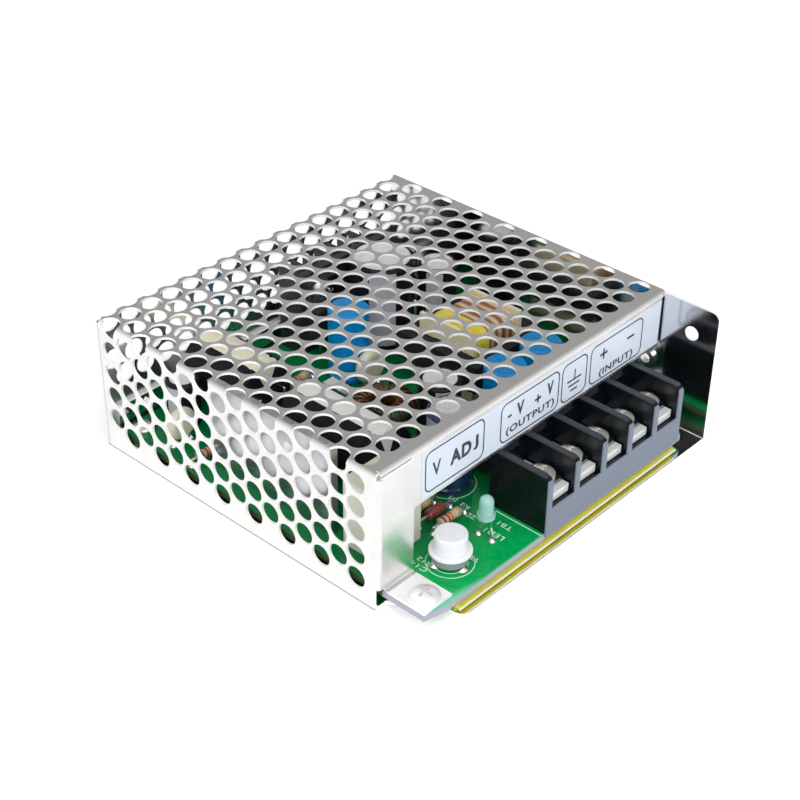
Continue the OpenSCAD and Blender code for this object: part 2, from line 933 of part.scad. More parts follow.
module trimmer_knob() {
    spindle_l = trimmer_flange_z - bore_floor - 0.3;
    edge_r = 0.5;
    color("white")
        on_board(trimmer_at)
            translate([0, 0, trimmer_flange_z + seat_gap]) {
                rotate_extrude()
                    union() {
                        square([knob_d / 2, knob_h - edge_r]);
                        square([knob_d / 2 - edge_r, knob_h]);
                        translate([knob_d / 2 - edge_r, knob_h - edge_r])
                            circle(edge_r);
                    }
                translate([0, 0, -spindle_l])
                    cylinder(r = spindle_r, h = spindle_l + edge_r);
            }
}

module indicator_lens() {
    color("palegreen")
        on_board(lens_at)
            translate([0, 0, lens_z])
                union() {
                    cylinder(d = lens_flange_d, h = lens_flange_t);
                    cylinder(d = lens_d, h = lens_l - lens_d / 2);
                    translate([0, 0, lens_l - lens_d / 2])
                        sphere(d = lens_d);
                }
}

// Side view of one lead, from the board's hole to the lens: spread out at the foot
module lead_outline(lead_w) {
    foot = (lead_spread - lead_w) / 2;
    head = (lead_pitch - lead_w) / 2;
    low = lens_z * 0.25;
    high = lens_z * 0.6;
    polygon([
        [foot, -board_t - tail],
        [foot + lead_w, -board_t - tail],
        [foot + lead_w, low],
        [head + lead_w, high],
        [head + lead_w, lens_z],
        [head, lens_z],
        [head, high],
        [foot, low]
    ]);
}

module indicator_leads() {
    lead_w = 0.5;
    color("silver")
        on_board(lens_at)
            for (side = [0, 1])
                mirror([0, side, 0])
                    translate([-lead_w / 2, 0, 0])
                        along_x(lead_w)
                            lead_outline(lead_w);
}

// Axial body with swollen ends, along X about its centre
module axial_body(length, r, waist) {
    end_l = length * 0.22;
    rotate([0, 90, 0])
        rotate_extrude()
            polygon([
                [0, -length / 2],
                [r - 0.3, -length / 2],
                [r, -length / 2 + 0.3],
                [r, -length / 2 + end_l],
                [r - waist, -length / 2 + end_l + 0.5],
                [r - waist, length / 2 - end_l - 0.5],
                [r, length / 2 - end_l],
                [r, length / 2 - 0.3],
                [r - 0.3, length / 2],
                [0, length / 2]
            ]);
}

module resistors() {
    color("tan")
        in_case()
            for (at = resistor_at)
                translate([at[0], at[1], axial_z])
                    axial_body(resistor_l, resistor_r, 0.15);
}

module glass_diode() {
    color("firebrick")
        in_case()
            translate([diode_at[0], diode_at[1], axial_z])
                axial_body(diode_l, diode_r, 0);
}

// Lead of an axial part: out of the body, round a bend and down through the board
module axial_lead(body_half, reach) {
    for (side = [0, 1])
        mirror([side, 0, 0]) {
            translate([body_half, 0, 0])
                rotate([0, 90, 0])
                    cylinder(r = pin_r, h = reach - body_half);
            translate([reach, 0, 0])
                sphere(r = pin_r);
            translate([reach, 0, board_z - tail - axial_z])
                cylinder(r = pin_r, h = axial_z + tail - board_z);
        }
}

// Straight lead from a part's underside through the board
module board_pin(at, lift) {
    translate([at[0], at[1], board_z - tail])
        cylinder(r = pin_r, h = board_t + tail + lift);
}

module component_leads() {
    color("silver")
        in_case() {
            for (at = resistor_at)
                translate([at[0], at[1], axial_z])
                    axial_lead(resistor_l / 2, axial_reach);
            translate([diode_at[0], diode_at[1], axial_z])
                axial_lead(diode_l / 2, axial_reach);
            for (c = standing_list)
                for (at = two_pins(c, can_pitch(c[2]) / 2))
                    board_pin(at, 0);
            for (c = disc_list)
                for (at = two_pins(c, leg_pitch))
                    board_pin(at, disc_lift);
            for (at = film_pins())
                board_pin(at, 0);
            for (at = lying_pins()) {
                translate([at[0], at[1] + lying_lead, lying_z])
                    rotate([90, 0, 0])
                        cylinder(r = pin_r, h = lying_lead);
                translate([at[0], at[1], lying_z])
                    sphere(r = pin_r);
                translate([at[0], at[1], board_z - tail])
                    cylinder(r = pin_r, h = lying_z + tail - board_z);
            }
        }
}

module film_capacitor() {
    edge = 0.5;
    color("cornsilk")
        on_board(film_at)
            translate([edge, edge, 0])
                linear_extrude(film_size[2])
                    union() {
                        translate([-edge, 0])
                            square([film_size[0], film_size[1] - 2 * edge]);
                        translate([0, -edge])
                            square([film_size[0] - 2 * edge, film_size[1]]);
                        for (x = [0, film_size[0] - 2 * edge])
                            for (y = [0, film_size[1] - 2 * edge])
                                translate([x, y])
                                    circle(edge);
                    }
}

// Capacitor can in its sleeve: a crimp near the seal and a lip round the top
module can(d, h) {
    r = d / 2;
    crimp = 0.5;
    rotate_extrude()
        polygon([
            [0, 0],
            [r - 0.4, 0],
            [r, 0.4],
            [r, 1.4],
            [r - crimp, 1.8],
            [r - crimp, 2.3],
            [r, 2.7],
            [r, h - 0.5],
            [r - 0.5, h],
            [r - sleeve_lip, h],
            [r - sleeve_lip, h - top_drop],
            [0, h - top_drop]
        ]);
}

module lying_can(cap) {
    color("#26282c")
        in_case()
            translate([lying_x, cap[0], lying_z])
                rotate([-90, 0, 0])
                    can(lying_d, cap[1]);
}

module rear_filter_capacitor() {
    lying_can(rear_cap);
}

module front_filter_capacitor() {
    lying_can(front_cap);
}

module can_capacitors() {
    color("#2b2c33")
        for (c = can_list)
            on_board(c)
                can(c[2], c[3]);
}

module blue_capacitors() {
    color("dodgerblue")
        for (c = blue_list)
            on_board(c)
                can(c[2], c[3]);
}

module corner_capacitor() {
    color("midnightblue")
        on_board(corner_can)
            can(corner_can[2], corner_can[3]);
}

// Aluminium can tops inside the sleeves' lips, scored with a cross
module can_top(d) {
    score_w = 0.3;
    score_d = 0.15;
    r = d / 2 - sleeve_lip - fit;
    difference() {
        cylinder(r = r, h = top_drop);
        for (turn = [0, 90])
            rotate(turn)
                translate([-r * 0.7, -score_w / 2, top_drop - score_d])
                    cube([r * 1.4, score_w, score_d + over]);
    }
}

module capacitor_tops() {
    color("lightsteelblue") {
        for (c = standing_list)
            on_board(c)
                translate([0, 0, c[3] - top_drop])
                    can_top(c[2]);
        in_case()
            for (cap = [rear_cap, front_cap])
                translate([lying_x, cap[0] + cap[1] - top_drop, lying_z])
                    rotate([-90, 0, 0])
                        can_top(lying_d);
    }
}

// Dipped discs standing on their two leads
module disc_capacitors() {
    color("chocolate")
        for (c = disc_list)
            on_board(c)
                translate([0, 0, disc_lift + c[2] / 2])
                    rotate([90, 0, 0])
                        rotate_extrude()
                            difference() {
                                union() {
                                    translate([0, -disc_t / 2])
                                        square([c[2] / 2 - disc_t / 2, disc_t]);
                                    translate([c[2] / 2 - disc_t / 2, 0])
                                        circle(disc_t / 2);
                                }
                                translate([-2 * c[2], -disc_t])
                                    square([2 * c[2], 2 * disc_t]);
                            }
}

module at_trafo() {
    on_board(trafo_at)
        translate([0, 0, core_z - board_top])
            children();
}

// Pair of E-shaped ferrite halves: two outer legs, two yokes and the middle leg
module transformer_core() {
    color("#3a3b3e")
        at_trafo()
            translate([0, 0, -core_t / 2])
                linear_extrude(core_t)
                    union() {
                        difference() {
                            square([core_l, core_w], center = true);
                            square([core_l - 2 * yoke_t, core_w - 2 * leg_t], center = true);
                        }
                        square([core_l, core_pole], center = true);
                    }
}

// Bobbin: a square tube round the middle leg, two end flanges and two pin rails
module transformer_bobbin() {
    rail_h = rail_gap + rail_lap;
    rail_l = 4 * trafo_pin_pitch + 2 * rail_end;
    pole_hole = core_pole + 2 * core_play;
    color("#d9d3b4")
        at_trafo()
            difference() {
                union() {
                    translate([-bobbin_l / 2, -bobbin_tube / 2, -bobbin_tube / 2])
                        cube([bobbin_l, bobbin_tube, bobbin_tube]);
                    for (side = [0, 1])
                        mirror([side, 0, 0]) {
                            translate([bobbin_l / 2 - bobbin_flange_t / 2, 0, 0])
                                cube([bobbin_flange_t, bobbin_flange, bobbin_flange], center = true);
                            translate([bobbin_l / 2 - rail_w, -rail_l / 2, board_top - core_z])
                                cube([rail_w, rail_l, rail_h]);
                        }
                }
                translate([-core_l / 2, -pole_hole / 2, -pole_hole / 2])
                    cube([core_l, pole_hole, pole_hole]);
            }
}

// Round-cornered tube along X that stands for the layers wound on the bobbin
module wound_layer(length, outer, inner, corner) {
    translate([-length / 2, 0, 0])
        along_x(length)
            difference() {
                union() {
                    square([outer, outer - 2 * corner], center = true);
                    square([outer - 2 * corner, outer], center = true);
                    for (x = [-1, 1])
                        for (y = [-1, 1])
                            translate([x, y] * (outer / 2 - corner))
                                circle(corner);
                }
                square(inner, center = true);
            }
}

module transformer_winding() {
    winding_l = bobbin_l - 2 * bobbin_flange_t - 2 * lap_gap;
    color("peru")
        at_trafo()
            wound_layer(winding_l, winding_w, bobbin_tube + 2 * seat_gap, winding_r);
}

module transformer_tape() {
    color("gold")
        at_trafo()
            translate([tape_l / 2 - bobbin_l / 2 + bobbin_flange_t + lap_gap, 0, 0])
                difference() {
                    wound_layer(tape_l, winding_w + 2 * tape_t, core_pole, winding_r + tape_t);
                    wound_layer(tape_l + over, winding_w + 2 * seat_gap, core_pole - 1, winding_r);
                }
}

module transformer_pins() {
    color("silver")
        in_case()
            for (at = trafo_pins())
                board_pin(at, 0);
}

// Choke, lying flat on the board
module choke_core() {
    color("#c9b458")
        on_board(choke_at)
            translate([0, 0, choke_lift + seat_gap])
                rotate_extrude()
                    translate([choke_r, 0])
                        circle(choke_core_r);
}

module choke_winding() {
    color("peru")
        on_board(choke_at)
            translate([0, 0, choke_lift + seat_gap]) {
                for (k = [0 : choke_turns - 1])
                    rotate((k + 0.5) * 360 / choke_turns)
                        translate([choke_r, 0, 0])
                            rotate([90, 0, 0])
                                rotate_extrude()
                                    translate([choke_core_r + choke_wire_r + seat_gap / 2, 0])
                                        circle(choke_wire_r, $fn = 16);
                for (side = [-1, 1])
                    translate([side * (choke_r + choke_core_r + choke_wire_r), 0, 0])
                        translate([0, 0, -choke_lift - seat_gap - board_t - tail])
                            cylinder(r = choke_wire_r, h = choke_lift + board_t + tail);
            }
}

// Solder pin of a heatsink
module sink_pin(at) {
    translate([at[0], at[1], board_z - tail])
        cylinder(r = sink_pin_r, h = board_t + tail + 0.3);
}

// Plain plate behind the left wall
module side_heatsink() {
    color("whitesmoke")
        in_case()
            difference() {
                union() {
                    translate([side_sink_x, side_sink_y[0], board_top])
                        cube([side_sink_t, side_sink_y[1] - side_sink_y[0], side_sink_h]);
                    for (k = [0, 1])
                        sink_pin(sink_pins()[k]);
                }
                translate([side_sink_x - over, switch_y, board_top + device_lift + device_hole_z])
                    rotate([0, 90, 0])
                        cylinder(r = case_screw_r + fit, h = side_sink_t + 2 * over);
            }
}

// Plate with upright fins on its back
module rear_heatsink() {
    fins = 8;
    fin_t = 1.2;
    span = rear_sink_x[1] - rear_sink_x[0];
    color("#2a2d30")
        in_case()
            difference() {
                union() {
                    translate([rear_sink_x[0], rear_sink_y, board_top])
                        cube([span, rear_sink_t, rear_sink_h]);
                    for (k = [0 : fins - 1])
                        translate([rear_sink_x[0] + k * (span - fin_t) / (fins - 1), rear_sink_y, board_top])
                            cube([fin_t, rear_sink_t + rear_sink_fin, rear_sink_h]);
                    for (k = [2, 3])
                        sink_pin(sink_pins()[k]);
                }
                translate([rectifier_x, rear_sink_y - over, board_top + device_lift + device_hole_z])
                    rotate([-90, 0, 0])
                        cylinder(r = case_screw_r + fit, h = rear_sink_t + 2 * over);
            }
}

// Places a power device against its heatsink: mounting face at y = 0, case towards -Y
module at_switch() {
    on_board([side_sink_x + side_sink_t, switch_y])
        rotate(90)
            children();
}

module at_rectifier() {
    on_board([rectifier_x, rear_sink_y])
        children();
}

module device_case() {
    translate([-device_w / 2, -device_t, device_lift])
        difference() {
            cube([device_w, device_t, device_h]);
            translate([-over, device_t - device_tab_t - seat_gap, -over])
                cube([device_w + 2 * over, device_tab_t + over, device_h + 2 * over]);
        }
}

module device_tab() {
    leg_w = 0.6;
    difference() {
        translate([-device_w / 2, -device_tab_t, device_lift])
            cube([device_w, device_tab_t, device_tab_h]);
        translate([0, over, device_lift + device_hole_z])
            rotate([90, 0, 0])
                cylinder(r = case_screw_r + 0.2, h = device_tab_t + 2 * over);
    }
    for (k = [-1, 0, 1])
        translate([k * leg_pitch - leg_w / 2, -device_leg_out - leg_w / 2, -board_t - tail])
            cube([leg_w, leg_w, board_t + tail + device_lift]);
}

module switch_transistor() {
    color("#1f2124")
        at_switch()
            device_case();
}

module output_rectifier() {
    color("#1f2124")
        at_rectifier()
            device_case();
}

module device_tabs() {
    color("lightgray") {
        at_switch()
            device_tab();
        at_rectifier()
            device_tab();
    }
}

module device_screw(length) {
    translate([0, -device_tab_t, device_lift + device_hole_z])
        rotate([90, 0, 0])
            pan_screw(case_screw_r, length, screw_head_r, screw_head_h);
}

module device_screws() {
    color("silver") {
        at_switch()
            device_screw(device_tab_t + side_sink_t);
        at_rectifier()
            device_screw(device_tab_t + rear_sink_t);
    }
}

// Moulded body of a dual-in-line part, with a notch at its first leg
module dual_body(size) {
    draft = 0.4;
    translate([-size[0] / 2, 0, chip_lift])
        difference() {
            along_x(size[0])
                polygon([
                    [-size[1] / 2 + draft, 0],
                    [size[1] / 2 - draft, 0],
                    [size[1] / 2, size[2] / 2],
                    [size[1] / 2 - draft, size[2]],
                    [-size[1] / 2 + draft, size[2]],
                    [-size[1] / 2, size[2] / 2]
                ]);
            translate([0, 0, size[2] - 0.6])
                cylinder(r = 0.8, h = 1);
        }
}

module controller_chip() {
    color("#1c1d20")
        on_board(chip_at)
            dual_body(chip_size);
}

module optocoupler() {
    color("#e8e4da")
        on_board(opto_at)
            dual_body(opto_size);
}

// Legs of a dual-in-line part: out of the body's middle and down through the board
module dual_legs(size, count) {
    leg_w = 0.5;
    leg_t = 0.3;
    root_z = chip_lift + size[2] / 2 - leg_t / 2;
    root_y = size[1] / 2;
    for (k = [0 : count - 1])
        for (side = [0, 1])
            mirror([0, side, 0])
                translate([(k - (count - 1) / 2) * leg_pitch - leg_w / 2, 0, 0]) {
                    translate([0, root_y, root_z])
                        cube([leg_w, leg_span / 2 - root_y + leg_t / 2, leg_t]);
                    translate([0, leg_span / 2 - leg_t / 2, -board_t - tail])
                        cube([leg_w, leg_t, root_z + board_t + tail + leg_t]);
                }
}

module chip_legs() {
    color("silver") {
        on_board(chip_at)
            dual_legs(chip_size, 4);
        on_board(opto_at)
            dual_legs(opto_size, 2);
    }
}

// Fuse: a tube with a metal cap at each end, on two bent leads
module fuse_tube() {
    color("oldlace")
        in_case()
            translate([fuse_at[0] - fuse_l / 2 + fuse_end, fuse_at[1], fuse_z])
                rotate([0, 90, 0])
                    cylinder(r = fuse_r - fuse_wall, h = fuse_l - 2 * fuse_end);
}

module fuse_caps() {
    cap_bore = fuse_cap_l - fuse_end + seat_gap;
    color("silver")
        in_case()
            translate([fuse_at[0], fuse_at[1], fuse_z])
                for (side = [0, 1])
                    mirror([side, 0, 0]) {
                        difference() {
                            translate([fuse_l / 2 - fuse_cap_l, 0, 0])
                                rotate([0, 90, 0])
                                    cylinder(r = fuse_r, h = fuse_cap_l);
                            translate([fuse_l / 2 - fuse_cap_l - over, 0, 0])
                                rotate([0, 90, 0])
                                    cylinder(r = fuse_r - fuse_wall + fit, h = cap_bore + over);
                        }
                        translate([fuse_l / 2, 0, 0])
                            rotate([0, 90, 0])
                                cylinder(r = pin_r, h = fuse_lead);
                        translate([fuse_l / 2 + fuse_lead, 0, 0])
                            sphere(r = pin_r);
                        translate([fuse_l / 2 + fuse_lead, 0, board_z - tail - fuse_z])
                            cylinder(r = pin_r, h = fuse_z + tail - board_z);
                    }
}

chassis_base();
chassis_wall();
chassis_lip();
cover();
legend_label();
insulating_sheet();
clinch_nuts();
cover_screws();
tab_screw();
board_spacers();
board_screws();
circuit_board();
terminal_block();
contact_plates();
clamp_washer(1);  // clamp_washer_1
clamp_washer(2);  // clamp_washer_2
clamp_washer(3);  // clamp_washer_3
clamp_washer(4);  // clamp_washer_4
clamp_washer(5);  // clamp_washer_5
terminal_screw(1);  // terminal_screw_1
terminal_screw(2);  // terminal_screw_2
terminal_screw(3);  // terminal_screw_3
terminal_screw(4);  // terminal_screw_4
terminal_screw(5);  // terminal_screw_5
trimmer_base();
trimmer_pins();
trimmer_knob();
indicator_lens();
indicator_leads();
resistors();
glass_diode();
component_leads();
film_capacitor();
rear_filter_capacitor();
front_filter_capacitor();
can_capacitors();
blue_capacitors();
corner_capacitor();
capacitor_tops();
disc_capacitors();
transformer_core();
transformer_bobbin();
transformer_winding();
transformer_tape();
transformer_pins();
choke_core();
choke_winding();
side_heatsink();
rear_heatsink();
switch_transistor();
output_rectifier();
device_tabs();
device_screws();
controller_chip();
optocoupler();
chip_legs();
fuse_tube();
fuse_caps();
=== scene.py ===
"""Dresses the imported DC-DC converter for its studio picture.

Every CAD node gets a finish made of shader nodes. New pieces are the label's print, the board's
print, the solder, the resistors' colour bands and the capacitors' stripes.
Metres, +Z up, terminal side towards -Y, origin at the centre of the base.
"""

import logging
import math
from dataclasses import dataclass
from enum import Enum
from typing import Sequence

import bmesh
import bpy
from mathutils import Matrix, Vector


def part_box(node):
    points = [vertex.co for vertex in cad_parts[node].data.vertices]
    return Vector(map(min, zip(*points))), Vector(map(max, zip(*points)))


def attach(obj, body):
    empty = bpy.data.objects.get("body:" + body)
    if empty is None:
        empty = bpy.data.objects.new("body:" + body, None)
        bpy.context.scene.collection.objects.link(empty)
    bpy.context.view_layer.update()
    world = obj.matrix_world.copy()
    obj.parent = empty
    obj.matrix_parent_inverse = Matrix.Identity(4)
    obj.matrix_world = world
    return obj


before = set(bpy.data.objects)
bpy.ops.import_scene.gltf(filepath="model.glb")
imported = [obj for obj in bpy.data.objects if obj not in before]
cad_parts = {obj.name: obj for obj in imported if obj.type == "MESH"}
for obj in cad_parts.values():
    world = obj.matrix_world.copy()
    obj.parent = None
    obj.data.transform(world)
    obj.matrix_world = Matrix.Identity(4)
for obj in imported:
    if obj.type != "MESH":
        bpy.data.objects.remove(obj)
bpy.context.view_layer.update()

LOG = logging.getLogger("converter")
MM = 0.001
QUARTER_TURN = math.pi / 2
WELD = 1e-7
LETTER_WELD = 1e-5
COAT_ROUGHNESS = 0.12
BUMP_DEPTH = 0.2 * MM
FLOAT = "NodeSocketFloat"
VECTOR = "NodeSocketVector"

Node = bpy.types.Node
Socket = bpy.types.NodeSocket
Tree = bpy.types.NodeTree
Mesh = bmesh.types.BMesh
Vert = bmesh.types.BMVert
Colour = tuple[float, float, float]
Spot = tuple[float, float]
Box = tuple[float, float, float, float]
Corners = tuple[Vector, Vector]


class Slot(str, Enum):
    """Material slots of the record."""

    LEGEND_PRINT = "legend_print"
    TINNED_METAL = "tinned_metal"
    RESISTOR_COAT = "resistor_coat"
    DARK_SLEEVE = "dark_sleeve"
    BLUE_SLEEVE = "blue_sleeve"
    NAVY_SLEEVE = "navy_sleeve"


class Body(str, Enum):
    """Bodies of the frame that new pieces ride on."""

    CASE = "case"


class Axis(Enum):
    """Axes of the frame, with the index of their coordinate."""

    X = 0
    Y = 1
    Z = 2


class Wiring:
    """Short way to place and link the nodes of one shader tree."""

    def __init__(self, tree: Tree) -> None:
        """Keeps the tree that the nodes go into."""
        self.tree = tree

    def add(self, kind: str, **settings: object) -> Node:
        """Places a node.

        Args:
            kind: Blender's name of the node type.
            settings: properties set on the node.

        Returns:
            The new node.
        """
        node = self.tree.nodes.new(kind)
        for name, value in settings.items():
            setattr(node, name, value)
        return node

    def feed(self, socket: Socket, value: object) -> None:
        """Links a socket to another one, or sets its value.

        Args:
            socket: input socket to feed.
            value: output socket, number, vector or colour.
        """
        if isinstance(value, Socket):
            self.tree.links.new(value, socket)
        elif isinstance(value, tuple) and socket.type == "RGBA" and len(value) == 3:
            socket.default_value = (*value, 1.0)
        else:
            socket.default_value = value

    def math(self, operation: str, *values: object) -> Socket:
        """Places a Math node.

        Args:
            operation: the node's operation.
            values: one to three inputs.

        Returns:
            The node's result.
        """
        node = self.add("ShaderNodeMath", operation=operation)
        for socket, value in zip(node.inputs, values):
            self.feed(socket, value)
        return node.outputs[0]

    def span(
        self, value: object, low: object, high: object, start: float = 0.0, end: float = 1.0
    ) -> Socket:
        """Maps a value from start..end to low..high, held at the ends.

        Args:
            value: what is mapped.
            low: result at start.
            high: result at end.
            start: value that gives low.
            end: value that gives high.

        Returns:
            The mapped value.
        """
        node = self.add("ShaderNodeMapRange")
        for socket, item in zip(node.inputs, (value, start, end, low, high)):
            self.feed(socket, item)
        return node.outputs[0]

    def mix(self, factor: object, first: object, second: object) -> Socket:
        """Mixes two colours.

        Args:
            factor: share of the second colour.
            first: colour at 0.
            second: colour at 1.

        Returns:
            The mixed colour.
        """
        node = self.add("ShaderNodeMix", data_type="RGBA")
        colours = [socket for socket in node.inputs if socket.type == "RGBA"]
        for socket, value in zip((node.inputs[0], *colours), (factor, first, second)):
            self.feed(socket, value)
        return next(socket for socket in node.outputs if socket.type == "RGBA")

    def noise(self, vector: object, scale: object, detail: float = 2.0, rough: float = 0.6) -> Socket:
        """Places a noise texture.

        Args:
            vector: coordinates.
            scale: cells per metre.
            detail: octaves.
            rough: weight of the finer octaves.

        Returns:
            The noise, around 0.5.
        """
        node = self.add("ShaderNodeTexNoise")
        values = {"Vector": vector, "Scale": scale, "Detail": detail, "Roughness": rough}
        for name, value in values.items():
            self.feed(node.inputs[name], value)
        return node.outputs[0]

    def parts(self, vector: object) -> Sequence[Socket]:
        """Splits a vector into its three coordinates."""
        node = self.add("ShaderNodeSeparateXYZ")
        self.feed(node.inputs[0], vector)
        return node.outputs

    def group(self, tree: Tree, **values: object) -> Node:
        """Places a shared node group.

        Args:
            tree: the group.
            values: inputs by name.

        Returns:
            The group's node.
        """
        node = self.add("ShaderNodeGroup", node_tree=tree)
        for name, value in values.items():
            self.feed(node.inputs[name], value)
        return node


class SharedEffects:
    """Shader node groups that several finishes use, each built once."""

    SLOW_SHARE = 0.06
    MOTTLE_RANGE = (0.3, 0.7)
    SQUARE = 0.32
    ROLLING_TURN = 4.0
    STREAK_CELLS = (60.0, 1100.0, 1100.0)
    STREAK_RANGE = (0.6, 0.75)
    SMUDGE_CELLS = 55.0
    SMUDGE_RANGE = (0.5, 0.75)
    MARK_SHARE = 0.5

    def __init__(self) -> None:
        """Builds the groups."""
        self.grain = self._grain()
        self.panel_cut = self._panel_cut()
        self.marks = self._marks()
        self.stripe = self._stripe()
        self.box = self._box()

    @staticmethod
    def _open(name: str, *results: str, **inputs: str) -> tuple[Wiring, object, object]:
        """Starts a group with its named sockets.

        Args:
            name: the group's name.
            results: names of its outputs, which are all numbers.
            inputs: socket type by input name.

        Returns:
            Wiring, the sockets that hold the inputs, and the sockets that take the results.
        """
        tree = bpy.data.node_groups.new(name, "ShaderNodeTree")
        for label, kind in inputs.items():
            tree.interface.new_socket(name=label, in_out="INPUT", socket_type=kind)
        for label in results:
            tree.interface.new_socket(name=label, in_out="OUTPUT", socket_type=FLOAT)
        w = Wiring(tree)
        return w, w.add("NodeGroupInput").outputs, w.add("NodeGroupOutput").inputs

    def _grain(self) -> Tree:
        """Slow mottle and fine grain of a surface.

        Returns:
            Group with Mottle and Grain, both 0 to 1.
        """
        w, given, result = self._open("surface_grain", "Mottle", "Grain", Vector=VECTOR, Size=FLOAT)
        slow_cells = w.math("MULTIPLY", given["Size"], self.SLOW_SHARE)
        slow = w.noise(given["Vector"], slow_cells, detail=3.0, rough=0.55)
        w.feed(result["Mottle"], w.span(slow, 0.0, 1.0, *self.MOTTLE_RANGE))
        w.feed(result["Grain"], w.noise(given["Vector"], given["Size"]))
        return w.tree

    def _panel_cut(self) -> Tree:
        """Faces cut through a sheet: within its thickness, and square to its face.

        Returns:
            Group with a Mask.
        """
        w, given, result = self._open(
            "panel_cut", "Mask", Along=FLOAT, Facing=FLOAT, Middle=FLOAT, Half=FLOAT
        )
        inside = w.math("COMPARE", given["Along"], given["Middle"], given["Half"])
        square = w.math("COMPARE", given["Facing"], 0.0, self.SQUARE)
        w.feed(result["Mask"], w.math("MULTIPLY", inside, square))
        return w.tree

    def _marks(self) -> Tree:
        """Faint streaks and smudges from rolling and handling.

        Returns:
            Group with a Mask.
        """
        w, given, result = self._open("handling_marks", "Mask", Vector=VECTOR)
        turned = w.add("ShaderNodeMapping")
        w.feed(turned.inputs["Vector"], given["Vector"])
        turned.inputs["Rotation"].default_value = (0.0, 0.0, math.radians(self.ROLLING_TURN))
        turned.inputs["Scale"].default_value = self.STREAK_CELLS
        streak = w.span(w.noise(turned.outputs[0], 1.0), 0.0, 1.0, *self.STREAK_RANGE)
        spots = w.noise(given["Vector"], self.SMUDGE_CELLS, detail=3.0)
        smudge = w.span(spots, 0.0, 1.0, *self.SMUDGE_RANGE)
        rest = w.math("MULTIPLY", smudge, self.MARK_SHARE)
        w.feed(result["Mask"], w.math("MULTIPLY_ADD", streak, self.MARK_SHARE, rest))
        return w.tree

    def _stripe(self) -> Tree:
        """Lengthwise stripe on a round sleeve.

        Returns:
            Group with a Mask.
        """
        w, given, result = self._open(
            "sleeve_stripe", "Mask", Across=FLOAT, Up=FLOAT, Turn=FLOAT, Half=FLOAT
        )
        angle = w.math("ARCTAN2", given["Up"], given["Across"])
        w.feed(result["Mask"], w.math("COMPARE", angle, given["Turn"], given["Half"]))
        return w.tree

    def _box(self) -> Tree:
        """Box-shaped part of a piece.

        Returns:
            Group with a Mask.
        """
        w, given, result = self._open("box_part", "Mask", Vector=VECTOR, Middle=VECTOR, Half=VECTOR)
        spot, middle, half = (w.parts(given[name]) for name in ("Vector", "Middle", "Half"))
        x, y, z = (w.math("COMPARE", spot[k], middle[k], half[k]) for k in range(3))
        w.feed(result["Mask"], w.math("MULTIPLY", w.math("MULTIPLY", x, y), z))
        return w.tree


@dataclass(frozen=True)
class Surface:
    """Material in the making: its wiring, its shader, its object coordinates and the shared groups."""

    w: Wiring
    shader: Node
    place: Socket
    effects: SharedEffects

    def feed(self, name: str, value: object) -> None:
        """Feeds one of the shader's inputs."""
        self.w.feed(self.shader.inputs[name], value)

    def grain(self, size: float) -> tuple[Socket, Socket]:
        """Slow mottle and fine grain, with so many cells a metre."""
        outputs = self.w.group(self.effects.grain, Vector=self.place, Size=size).outputs
        return outputs["Mottle"], outputs["Grain"]

    def facing(self) -> Sequence[Socket]:
        """The three coordinates of the surface's normal."""
        return self.w.parts(self.w.add("ShaderNodeNewGeometry").outputs["Normal"])


@dataclass(frozen=True)
class Finish:
    """Surface finish with a drifting colour, a drifting roughness and a fine grain."""

    name: str
    base: Colour
    drift: Colour
    roughness: Spot
    metallic: float = 0.0
    specular: float = 0.5
    coat: float = 0.0
    grain_size: float = 1500.0
    bump: float = 0.02

    def constants(self) -> dict[str, object]:
        """Values that are the same all over the surface.

        Returns:
            The values by name of the shader's socket.
        """
        return {
            "Metallic": self.metallic,
            "Specular IOR Level": self.specular,
            "Coat Weight": self.coat,
            "Coat Roughness": COAT_ROUGHNESS,
        }

    def make(self, effects: SharedEffects) -> bpy.types.Material:
        """Builds the material.

        Args:
            effects: shared node groups.

        Returns:
            The material.
        """
        material = bpy.data.materials.new(self.name)
        material.use_nodes = True
        material.node_tree.nodes.clear()
        w = Wiring(material.node_tree)
        shader = w.add("ShaderNodeBsdfPrincipled")
        w.feed(w.add("ShaderNodeOutputMaterial").inputs["Surface"], shader.outputs["BSDF"])
        for name, value in self.constants().items():
            shader.inputs[name].default_value = value
        self.dress(Surface(w, shader, w.add("ShaderNodeTexCoord").outputs["Object"], effects))
        return material

    def dress(self, surface: Surface) -> None:
        """Feeds colour, roughness and bump.

        Args:
            surface: the material in the making.
        """
        mottle, grain = surface.grain(self.grain_size)
        surface.feed("Base Color", self.tint(surface, mottle))
        surface.feed("Roughness", self.gloss(surface, mottle))
        self.roughen(surface, grain)

    def tint(self, surface: Surface, share: Socket) -> Socket:
        """Colour that drifts with a share."""
        return surface.w.mix(share, self.base, self.drift)

    def gloss(self, surface: Surface, share: Socket) -> Socket:
        """Roughness that drifts with a share."""
        return surface.w.span(share, *self.roughness)

    def roughen(self, surface: Surface, height: Socket) -> None:
        """Adds a bump.

        Args:
            surface: the material in the making.
            height: height of the bump.
        """
        bump = surface.w.add("ShaderNodeBump")
        bump.inputs["Strength"].default_value = self.bump
        bump.inputs["Distance"].default_value = BUMP_DEPTH
        surface.w.feed(bump.inputs["Height"], height)
        surface.feed("Normal", bump.outputs["Normal"])


@dataclass(frozen=True)
class Patch:
    """Box-shaped part of a piece with a look of its own; corners in metres."""

    low: Vector
    high: Vector
    colour: Colour
    roughness: float
    metallic: float = 0.0


